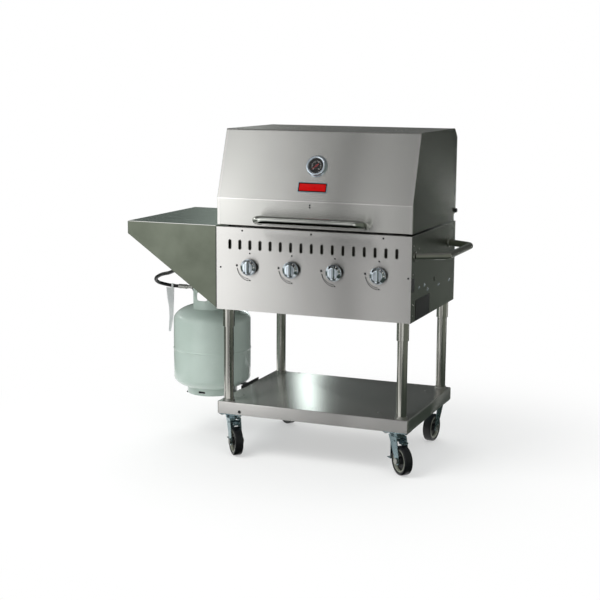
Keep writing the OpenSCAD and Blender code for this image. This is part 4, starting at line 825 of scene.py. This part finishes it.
# A thin black disc over the hole in the skirt: painted shade inside the hole
holeShade = revolved([(0, 0), (r, 0), (r, 0.25), (0, 0.25)], 32)
leg = pipe(cart["legRadii"], cart["top"], cart["boxFoot"], 0.2)
socket = pipe(cart["socketRadii"], cart["boxFoot"] - cart["socketLength"], cart["boxFoot"])
addPiece("lowerShelfPiece", makeLowerShelf(cart), brushedFront, "brushed_stainless", ["lower_shelf"],
         smooth=40)
addPiece("shelfHoleRimPiece", onFront(holeRing, x, shelfFoot + z), screwSteel, "brushed_stainless", smooth=50)
addPiece("shelfHolePiece", onFront(holeShade, x, shelfFoot + z), blackPlastic, "brushed_stainless")
roundedNode("shelf_stiffeners", zincPlate, 0.5)
addPiece("legPiece", atEach(cart["legs"], leg), polishedTube, "handle_steel", ["legs"])
addPiece("legSocketPiece", atEach(cart["legs"], socket), polishedTube, "handle_steel", ["leg_sockets"])
addPiece("legCollarPiece", atEach(cart["legs"], makeCollar(cart)), screwSteel, "handle_steel", smooth=50)

caster = {
    # where each one turns, and its heading
    "places": {"fl": (-330, -250, -50), "fr": (330, -250, -43), "rl": (-330, 250, -35),
               "rr": (330, 250, -97)},
    "trail": 38, "axleHeight": 54, "plateFoot": shelfFoot - 4,
    "bolts": [(sx * 37.5, sy * 22.5) for sx in (-1, 1) for sy in (-1, 1)],
    "boltHead": (7, 4.5), "nutHeight": 6, "wheelRadius": 54, "rimRadius": 43, "halfWidth": 16,
}


def bothSides(half, sides=72):  # a ring whose profile is the given half and its mirror image
    return closedRing([(x, -z) for x, z in half] + half[::-1], sides)


def makeTyre(spec):  # a flat tread between two shoulder grooves, round shoulders and a bead at the rim
    r, rim, h = spec["wheelRadius"], spec["rimRadius"], spec["halfWidth"]
    shoulder = arc(r - 5, h - 5, 5, 0, 90, 7)[1:]
    groove, bead = [(r, h - 6.6), (r - 0.7, h - 6.2), (r - 0.7, h - 5.8)], [(r - 7, h), (rim + 2, h),
                                                                            (rim, h - 1.6)]
    return bothSides((groove + shoulder + bead)[::-1] + [(r, 0)])


def makeWheelCore(spec):  # the moulded rim that the tyre is bonded to
    rim, h = spec["rimRadius"] - 0.1, spec["halfWidth"]
    return bothSides([(rim, h - 2.4), (rim - 1.2, h - 1.6), (rim - 4.4, h - 1.6), (rim - 5.2, h - 2.4),
                      (rim - 6, h - 5), (rim - 6.6, h / 3)])


def makeWheelWeb(spec):  # a dished web with a raised ring, and the hub
    rim, h, web = spec["rimRadius"] - 6.5, spec["halfWidth"], spec["halfWidth"] / 3
    return bothSides([(rim, web), (24, web), (22.5, web + 1.2), (19.5, web + 1.2), (18, web),
                      (15.4, web + 0.6), (15, h - 0.8), (14.2, h), (6.1, h)])


dustCup = closedRing([(6.2, -13.6), (25, -13.6), (27.5, -12.4), (28.6, -10), (28.6, -7.6), (27.6, -6.4),
                      (6.2, -6.4)])
wheelParts = [("tyre", makeTyre(caster), casterRubber), ("wheelCore", makeWheelCore(caster), wheelCore),
              ("wheelWeb", makeWheelWeb(caster), blackPlastic)]
for corner, (x, y, heading) in caster["places"].items():
    axes = turned(heading)
    hub = np.array([x, y, caster["axleHeight"]]) + caster["trail"] * axes[0]
    for name, shape, finish in wheelParts:
        addPiece(f"{name}_{corner}", placed(shape, hub, axes[0], -zAxis, axes[1]), finish, "caster_rubber",
                 [f"caster_wheel_{corner}"] if name == "tyre" else (), f"wheel_{corner}", smooth=40)
    cup = placed(dustCup, (x, y, caster["plateFoot"]))
    addPiece(f"swivelCup_{corner}", cup, zincPlate, "zinc_plate", body=f"fork_{corner}", smooth=40)
    roundedNode(f"caster_fork_{corner}", zincPlate, 0.9)
    roundedNode(f"caster_axle_{corner}", screwSteel, 0.6)
for node, bevel in (("caster_brake_fl", 0.8), ("caster_brake_fr", 0.8), ("caster_plates", 0.7)):
    roundedNode(node, zincPlate, bevel)


def makeCasterBolts(spec):  # hexagon heads under the plates; a threaded end and a nut inside the shelf
    radius, height = spec["boltHead"]
    centres = [place[:2] for place in spec["places"].values()]
    places = [(x + boltX, y + boltY) for x, y in centres for boltX, boltY in spec["bolts"]]
    heads, ends = ([place + (z,) for place in places] for z in (spec["plateFoot"], cart["foot"] + 2))
    thread = [(3.9 - 0.35 * (k % 2), 1.0 * k) for k in range(1, 14)]
    shanks = atEach(ends, closedRing([(0.1, 0)] + thread + [(0.1, 13.6)], 16))
    return together(hexHeads(heads, radius, height, -zAxis, xAxis),
                    hexHeads(ends, radius, spec["nutHeight"], zAxis, xAxis), shanks)


addPiece("casterBoltPiece", makeCasterBolts(caster), screwSteel, "zinc_plate", ["caster_bolts"])
print("cart and casters made")


# The gas cylinder

cylinder = {
    "axis": (-550, 24, ringFoot), "radius": 155.5, "low": 68, "high": 299, "dome": 68, "bottom": 54,
    "bead": (1.8, 4.5), "wall": 2.6,
    "ring": (101, 0, 30), "ringSlot": (-90, 14, 30, 9), "guard": (100, 339, 455), "guardEnds": (-113, 113),
    "windows": ((-88.5, 27), (35, 30), (90, 30)), "windowHeight": 34, "windowMiddle": 404,
}


def makeVessel(spec):  # half-ellipse ends and a straight wall with the weld's bead round its middle, as cos^2
    r, low, high, top = spec["radius"], spec["low"], spec["high"], spec["high"] + spec["dome"]
    middle, (proud, half) = (low + high) / 2, spec["bead"]
    bead = [(r + proud * cos(t) ** 2, middle + half * t / (pi / 2)) for t in np.linspace(-pi / 2, pi / 2, 11)]
    wall = [(r, middle - 12)] + bead + [(r, middle + 12)]
    boss = [(22, top - 1.2), (20, top + 1), (20, top + 4.4), (19.2, top + 5), (0, top + 5)]
    bottom, dome = arc(0, low, r, -90, 0, 18, spec["bottom"]), arc(0, high, r, 0, 83, 22, spec["dome"])
    return placed(revolved(bottom + wall + dome + boss, 128), spec["axis"])


# A strip of a round wall, as (angle, height) points: round a window it is lofted from the window's
# outline to the strip's own edges, which keep the same points as their neighbours
def wallStrip(start, end, low, high, window=None, across=6, up=8):
    if window is None:
        a, z = np.meshgrid(np.linspace(start, end, across + 1), np.linspace(low, high, up + 1))
        return surface(np.stack([a, z, 0 * a], -1), closeColumns=False)
    middle, height, wide, tall, radius = window
    hole = roundRect(wide, tall, radius, 6)
    hole = np.vstack([hole, hole[:1]])
    corners = [(end, high), (start, high), (start, low), (end, low), (end, high)]
    edge = np.vstack([np.linspace(*pair, count, endpoint=False)
                      for pair, count in zip(zip(corners, corners[1:]), (across, up, across, up))])
    scale = wide / ((end - start) * 0.7)
    direction = np.arctan2(edge[:, 1] - height, (edge[:, 0] - middle) * scale)
    holeDirection = np.unwrap(np.arctan2(hole[:, 1], hole[:, 0]))
    order = (direction - holeDirection[0]) % (2 * pi) + holeDirection[0]
    inner = np.column_stack([np.interp(order, holeDirection, hole[:, k]) for k in (0, 1)]) + (middle, height)
    loft = np.array([inner * (1 - k) + edge * k for k in (0, 0.25, 0.6, 1)])
    return surface(np.dstack([loft, np.zeros(loft.shape[:2])]))


def onRound(shape, radius, axis):  # (angle, height) points laid on a cylinder: x = r cos a, y = r sin a
    a, z = np.radians(shape[0][:, 0]), shape[0][:, 1]
    return np.column_stack([radius * np.cos(a), radius * np.sin(a), z]) + axis, shape[1]


def makeGuard(spec):  # the collar round the valve, pierced by windows and open towards the outlet
    (radius, low, high), (at, end), strips = spec["guard"], spec["guardEnds"], []
    for middle, span in spec["windows"]:
        left, right = middle - span / 2 - 5, middle + span / 2 + 5
        window = (middle, spec["windowMiddle"], span, spec["windowHeight"], 7)
        strips += [wallStrip(at, left, low, high), wallStrip(left, right, low, high, window, 14)]
        at = right
    return onRound(together(*strips, wallStrip(at, end, low, high)), radius, spec["axis"])


def makeGuardLip(spec):  # the guard's rolled upper edge: a tube along it
    radius, low, high = spec["guard"]
    edge = np.column_stack([np.linspace(*spec["guardEnds"], 90), np.full(90, high - 1.8)])
    path = onRound((edge, None), radius - 1.6, spec["axis"])
    return tubeAlong(path[0], 2.3, 12)


def makeFootRing(spec):  # a round wall with a drain slot
    radius, low, high = spec["ring"]
    middle, height, wide, tall = spec["ringSlot"]
    span = degrees(wide / radius)
    slot = wallStrip(middle - span, middle + span, low, high, (middle, height, span, tall, 3), 10)
    return onRound(together(slot, wallStrip(middle + span, middle - span + 360, low, high, across=60)),
                   radius, spec["axis"])


for name, shape, look in (
        ("gasCylinderPiece", makeVessel(cylinder), {"replaces": ["gas_cylinder"], "smooth": 45}),
        ("cylinderGuardPiece", makeGuard(cylinder), {"wall": cylinder["wall"], "bevel": 0.5}),
        ("cylinderGuardLipPiece", makeGuardLip(cylinder), {"smooth": 60}),
        ("cylinderFootPiece", makeFootRing(cylinder), {"wall": cylinder["wall"], "bevel": 0.5})):
    addPiece(name, shape, cylinderPaint, "cylinder_paint", **look)

valve = {
    "neck": 372, "outlet": 423, "top": 437, "body": 14, "nut": (-82, -48, 19), "nipple": (-115, 8),
    "ferrule": (-150, 9.5),
    "ribs": (14, 0.045), "lobes": (8, 0.055),
}


def makeValveBody(spec):  # a forged body: a hexagon foot, a waist, and the outlet boss
    top, r = spec["top"] - spec["neck"], spec["body"]
    foot = revolved([(0, 0), (17, 0), (17, 9), (15.6, 10.4), (0, 10.4)], 6)
    body = revolved([(0, 10), (r, 10), (r, 22), (11.5, 27), (11.5, 31), (r, 36), (r, top - 3), (r - 2, top),
                     (0, top)], 36)
    boss = revolved([(0, 0), (11, 0), (11, 26), (16, 27), (16, 40), (15, 41), (15, 48), (0, 48)], 36)
    return together(placed(together(foot, body), (0, 0, spec["neck"])),
                    alongX(boss, (0, 0, spec["outlet"]), -1))


def makeValveNut(spec):  # a hand nut with rounded ribs
    start, end, r = spec["nut"]
    long = end - start
    profile = [(0, 0), (r * 0.80, 0), (r * 0.93, 1.5), (r * 0.955, 4), (r * 0.955, long - 6),
               (r * 0.9, long - 2), (r * 0.82, long), (0, long)]
    return alongX(revolved(profile, 112, *spec["ribs"]), (start, 0, spec["outlet"]))


def makeNipple(spec):  # the hose's fitting: a grooved stem and a crimped ferrule
    (start, r), (tip, ferrule), end = spec["nipple"], spec["ferrule"], spec["nut"][0] + 1
    waist = [(r, start), (r, start + 8), (r - 1.5, start + 9), (r - 1.5, start + 20), (r, start + 21),
             (r, end)]
    stem = revolved([(0, start)] + waist + [(0, end)], 28)
    grooves = [(ferrule - (0.9 if k % 2 else 0), tip + 2 + k * 3.6) for k in range(9)]
    crimp = revolved([(0, tip)] + grooves + [(ferrule, start + 1), (0, start + 1)], 28)
    return alongX(together(stem, crimp), (0, 0, spec["outlet"]))


def makeHandwheel(spec):  # a lobed wheel, dished on top, on its stem and under its screw
    profile = [(0, 1), (19, 1), (22.4, 2.2), (22.7, 4), (22.7, 11), (21.4, 13.2), (18.6, 14), (13, 13.4),
               (9, 11.4), (5, 11), (0, 11)]
    stem = revolved([(0, -20), (4, -20), (4, 2), (0, 2)], 20)
    screw = revolved([(0, 10.5), (3.6, 10.5), (3.6, 12.2), (2.6, 13.2), (0, 13.2)], 6)
    return placed(together(revolved(profile, 96, *spec["lobes"]), stem, screw), (0, 0, spec["top"] + 0.4))


for name, shape, finish, slot, look in (
        ("cylinderValvePiece", makeValveBody(valve), brass, "brass", {"replaces": ["cylinder_valve"],
                                                                      "bevel": 0.4}),
        ("hoseNutPiece", makeValveNut(valve), blackPlastic, "brass", {"smooth": 50}),
        ("hoseFittingPiece", makeNipple(valve), screwSteel, "brass", {"bevel": 0.2}),
        ("handwheelPiece", makeHandwheel(valve), blackPlastic, "black_plastic",
         {"replaces": ["cylinder_handwheel"], "body": "handwheel", "smooth": 50})):
    addPiece(name, placed(shape, cylinder["axis"]), finish, slot, **look)

regulator = {"centre": (-440, -262, boxFoot + 141), "radius": 27, "half": 14, "screws": 6}


def makeRegulator(spec):  # two pressed halves with a seam, a bonnet with its cap, and the ports at both sides
    r, h = spec["radius"], spec["half"]
    half = [(r, 1.6), (r - 0.4, 2.6), (r - 3.4, 4), (r - 6, h - 1.5), (r - 9, h), (0, h)]
    bonnet = revolved([(0, h - 1), (12, h - 1), (12, h + 5.5), (10.8, h + 7.2), (8, h + 8), (0, h + 8)], 40)
    can = revolved([(x, -z) for x, z in half[::-1]] + half, 64)
    t = np.linspace(0, 2 * pi, spec["screws"], endpoint=False)
    rim = domes([((r - 2.4) * cos(a), (r - 2.4) * sin(a), 2.8) for a in t], 1.8, 1.3, zAxis, xAxis)
    inlet = revolved([(0, 16), (9, 16), (9, 24), (11, 25), (14, 26), (14, 39), (13, 40), (0, 40)], 6)
    barbs = [(9.5, 30), (8.4, 31), (8.4, 34), (9.5, 35), (9.5, 38), (8.6, 39), (9.5, 40), (9.5, 43),
             (8.6, 44), (9.5, 45), (9.5, 50)]
    outlet = revolved([(0, 18), (9.5, 18)] + barbs + [(0, 50)], 32)
    x, y, z = spec["centre"]
    return together(onFront(together(can, bonnet, placed(bonnet, z=-zAxis), rim), x, z, y),
                    alongX(inlet, spec["centre"]), alongX(outlet, spec["centre"], -1))


addPiece("regulatorPiece", makeRegulator(regulator), regulatorAlloy, "regulator_alloy", ["regulator"],
         smooth=40)
roundedNode("tank_bracket", blackPaint, 0.6)
print("gas cylinder and regulator made")


# The floor, the backdrop and the lights, in metres

studio = {
    "floorSize": 60, "floorColour": "#F6F6F4", "fade": (0.5, 1.7, 0.4),
    "skyColour": "#F2F4F6", "skyStrength": 0.78,
    # the sine of the elevation where it starts and ends, and its level in reflections
    "ceiling": (0.12, 0.60, 0.15),
    "aim": (-0.15, 0, 0.6),
    "lamps": [  # name, place, size, power
        ("keyLamp", (-2.2, -2.6, 4.6), 3.2, 130), ("sideLamp", (3.4, -2.6, 4.2), 2.4, 40),
        ("backLamp", (-1.2, 3.4, 4.4), 2.6, 50)],
    "flags": [  # name, middle, width, height, turn about Z, tilt about X, colour, light
        ("flagSide", (1.75, -1.2, 1.3), 4.4, 2.8, 90, 0, "#7A7E76", 1.0),
        ("flagLeft", (-1.5, -0.05, 0.38), 4.3, 0.76, 90, 0, "#646B64", 1.0),
        ("matRight", (1.25, 0.2, 0.003), 1.7, 5.0, 0, 90, "#3E453F", 1.0),
        ("matFront", (-0.3, -0.50, 0.003), 2.0, 0.40, 0, 90, "#30332F", 1.0),
        ("matHandle", (0.0, -0.40, 0.868), 0.42, 0.13, 0, 90, "#0A0C0A", 1.0),
        ("dotLeft", (-4.2, 0.8, 2.1), 0.5, 0.3, 90, 0, "#FFFFFF", 14.0),
        ("dotFront", (-3.4, -2.5, 1.95), 0.6, 0.2, 60, 0, "#FFFFFF", 9.0),
        ("stripTop", (-0.1, -1.6, 3.2), 2.6, 0.12, 0, 60, "#FFFFFF", 3.0),
        ("dotRight", (0.75, 2.4, 0.53), 0.1, 0.14, 0, 0, "#FFFFFF", 9.0)],
    # upright cards: their light at each place along X and at each height, with a lean: how far that
    # place moves for each metre of height, and the height at which it is right
    "cards": [
        {"name": "cardFront", "x": (-1.4, 0.3), "y": -1.3, "z": (0.0, 2.6), "lean": (0.082, 0.59),
         "tint": "#FFFFFF",
         "light": [(-0.84, 1.24), (-0.77, 1.15), (-0.72, 1.01), (-0.67, 0.87), (-0.62, 0.77), (-0.57, 0.72),
                   (-0.52, 0.66), (-0.47, 0.53), (-0.42, 0.44), (-0.37, 0.42), (-0.32, 0.42), (-0.29, 0.30),
                   (-0.25, 0.19), (-0.21, 0.25), (-0.17, 0.41), (-0.10, 0.46), (-0.025, 0.44), (0.05, 0.33)],
         "rows": [(0.0, 0.75), (0.20, 0.75), (0.34, 1.12), (0.46, 1.12), (0.70, 1.06), (0.96, 1.06),
                  (1.06, 2.0), (1.32, 2.0), (1.42, 0.90), (2.6, 0.88)]},
        {"name": "cardBack", "x": (-4.0, 0.9), "y": 2.7, "z": (1.05, 3.2), "tint": "#ECF4EE",
         "light": [(-2.35, 0.27), (-2.15, 0.36), (-1.90, 0.66), (-1.76, 0.70), (-1.64, 0.58), (-1.5, 0.24),
                   (-1.2, 0.13), (-0.5, 0.11)],
         "rows": [(0.0, 1.0), (3.2, 1.0)]},
        {"name": "cardRight", "x": (0.39, 3.4), "y": 2.7, "z": (0.0, 2.4), "tint": "#F2F8F0",
         "light": [(0.98, 0.06), (1.04, 0.07), (1.065, 0.11), (1.085, 0.22), (1.105, 0.12), (1.13, 0.06),
                   (1.165, 0.19), (1.185, 0.09), (1.21, 0.06), (1.25, 0.06), (1.28, 0.08), (1.6, 0.1),
                   (3.4, 0.08)],
         "rows": [(0.0, 2.2), (0.28, 2.2), (0.45, 1.0), (0.65, 0.8), (0.85, 0.9), (1.0, 1.1), (1.1, 0.8),
                  (2.4, 0.7)]},
        {"name": "cardDeck", "x": (-1.7, 0.35), "y": 1.0, "z": (0.04, 0.93), "tint": "#E6F3F0",
         "light": [(-1.2, 0.03), (-0.75, 0.03), (-0.69, 0.07), (-0.64, 0.4), (-0.60, 1.5), (-0.575, 2.9),
                   (-0.52, 3.3), (-0.48, 1.1), (-0.43, 0.35), (-0.35, 0.12), (-0.1, 0.075), (0.3, 0.085)],
         "rows": [(0.0, 0.2), (0.38, 0.25), (0.44, 0.5), (0.50, 1.2), (0.56, 1.7), (0.93, 1.7)]}],
}


def seenRay(tree):  # 1 for what the camera sees, straight or in metal or through glass
    ray = addNode(tree, "LightPath").outputs
    first = addNode(tree, "Math", {"operation": "MAXIMUM", 0: ray["Is Camera Ray"], 1: ray["Is Glossy Ray"]})
    return addNode(tree, "Math", {"operation": "MAXIMUM", 0: first, 1: ray["Is Transmission Ray"]})


def stagePiece(mesh, material):  # an object of the set with a material of its own, and the material's nodes
    thing = bpy.data.objects.new(mesh.name, mesh)
    bpy.context.scene.collection.objects.link(thing)
    look = bpy.data.materials.new(material)
    look.use_nodes = True
    mesh.materials.append(look)
    return thing, look.node_tree


def makeFloor(spec):  # pale near the cart, where it keeps the shadow, and fading to the white of the backdrop
    half, (near, far, least) = spec["floorSize"] / 2, spec["fade"]
    mesh = bpy.data.meshes.new("studioFloor")
    corners = [(-half, -half, 0), (half, -half, 0), (half, half, 0), (-half, half, 0)]
    mesh.from_pydata(corners, [], [(0, 1, 2, 3)])
    floor, tree = stagePiece(mesh, "paleStudioPaper")
    paper = tree.nodes["Principled BSDF"]
    addNode(tree, paper, {"Base Color": linear(spec["floorColour"]), "Roughness": 0.9})
    place = addNode(tree, "TexCoord").outputs["Object"]
    away = addNode(tree, "VectorMath", {"operation": "LENGTH", 0: place})
    fade = addNode(tree, "MapRange", {"interpolation_type": "SMOOTHSTEP", "From Min": near, "From Max": far,
                                      "To Min": least, "Value": away.outputs["Value"]})
    share = addNode(tree, "Math", {"operation": "MULTIPLY", 0: fade, 1: seenRay(tree)})
    white = addNode(tree, "Emission", {"Color": (1, 1, 1, 1), "Strength": 1.0})
    blend = addNode(tree, "MixShader", {0: share, 1: paper, 2: white})
    addNode(tree, tree.nodes["Material Output"], {"Surface": blend})


def makeWorld(spec):  # even light, white behind the grill, and a grey ceiling in the metal's reflections
    world = bpy.data.worlds.new("studioSky")
    bpy.context.scene.world = world
    world.use_nodes = True
    tree, (low, high, level) = world.node_tree, spec["ceiling"]
    sky = tree.nodes["Background"]
    addNode(tree, sky, {"Color": linear(spec["skyColour"]), "Strength": spec["skyStrength"]})
    direction = addNode(tree, "SeparateXYZ", {0: addNode(tree, "TexCoord").outputs["Generated"]})
    ceiling = addNode(tree, "MapRange", {
        "interpolation_type": "SMOOTHSTEP", "From Min": low, "From Max": high, "To Min": 1.0,
        "To Max": level, "Value": direction.outputs["Z"]})
    ray = addNode(tree, "LightPath").outputs["Is Camera Ray"]
    behind = addNode(tree, "Math", {"operation": "MAXIMUM", 0: ceiling, 1: ray})
    white = addNode(tree, "Background", {"Color": (1, 1, 1, 1), "Strength": behind})
    blend = addNode(tree, "MixShader", {0: seenRay(tree), 1: sky, 2: white})
    addNode(tree, tree.nodes["World Output"], {"Surface": blend})


def makeLamps(spec):  # large soft lamps that all look at the middle of the grill
    for name, place, size, power in spec["lamps"]:
        data = bpy.data.lights.new(name, "AREA")
        data.shape, data.size, data.energy = "SQUARE", size, power
        lamp = bpy.data.objects.new(name, data)
        back = unit(np.array(place) - spec["aim"])
        right = unit(np.cross(zAxis, back))
        lamp.matrix_world = matrixOf(right, np.cross(back, right), back, place)
        lamp.visible_camera = lamp.visible_glossy = False
        bpy.context.scene.collection.objects.link(lamp)


def makeCard(name, middle, width, height, turn=0, tilt=0):  # beside the set, and seen only in reflections
    half = np.array([width / 2, 0.002, height / 2])
    card = placed(placed(block(-half, half), (0, 0, 0), *turned(tilt, aboutX=True)), middle, *turned(turn))
    mesh = bpy.data.meshes.new(name)
    mesh.from_pydata(card[0].tolist(), [], card[1])
    flag, tree = stagePiece(mesh, name + "Cloth")
    glow = addNode(tree, "Emission")
    addNode(tree, tree.nodes["Material Output"], {"Surface": glow})
    flag.visible_camera = flag.visible_shadow = flag.visible_diffuse = False
    return tree, glow


# The light of a card: one ramp along X, tinted, times one by height. A ramp's stops are shares of
# its length, and its colours are shares of its brightest stop
def lightCard(spec, tree, glow):
    (low, high), gain = (spec["light"][end][0] for end in (0, -1)), max(v for x, v in spec["light"])
    tall, most = spec["rows"][-1][0], max(v for z, v in spec["rows"])
    lean, level = spec.get("lean", (0.0, 0.0))
    offset, tint = lean * level, linear(spec["tint"])[:3]
    stops = [((x - low) / (high - low), [v / gain * c for c in tint] + [1]) for x, v in spec["light"]]
    rowStops = [(z / tall, (v / most,) * 3 + (1,)) for z, v in spec["rows"]]
    place = addNode(tree, "SeparateXYZ", {0: addNode(tree, "TexCoord").outputs["Object"]}).outputs
    along = addNode(tree, "Math", {"operation": "MULTIPLY_ADD", 0: place["Z"], 1: lean, 2: place["X"]})
    part = addNode(tree, "MapRange", {"From Min": low + offset, "From Max": high + offset, "Value": along})
    height = addNode(tree, "Math", {"operation": "DIVIDE", 0: place["Z"], 1: tall})
    rows = addNode(tree, "ValToRGB", {"stops": rowStops, 0: height})
    strength = addNode(tree, "Math", {"operation": "MULTIPLY", 0: rows, 1: gain * most})
    addNode(tree, glow, {"Color": addNode(tree, "ValToRGB", {"stops": stops, 0: part}), "Strength": strength})


def makeCards(spec):  # the small even ones, then the large ones with their ramps
    for *where, colour, strength in spec["flags"]:
        tree, glow = makeCard(*where)
        addNode(tree, glow, {"Color": linear(colour), "Strength": strength})
    for card in spec["cards"]:
        (x0, x1), (z0, z1) = card["x"], card["z"]
        lightCard(card, *makeCard(card["name"], ((x0 + x1) / 2, card["y"], (z0 + z1) / 2), x1 - x0, z1 - z0))


makeFloor(studio)
makeWorld(studio)
makeLamps(studio)
makeCards(studio)
bpy.context.scene.view_settings.view_transform = "Standard"
print("studio made")
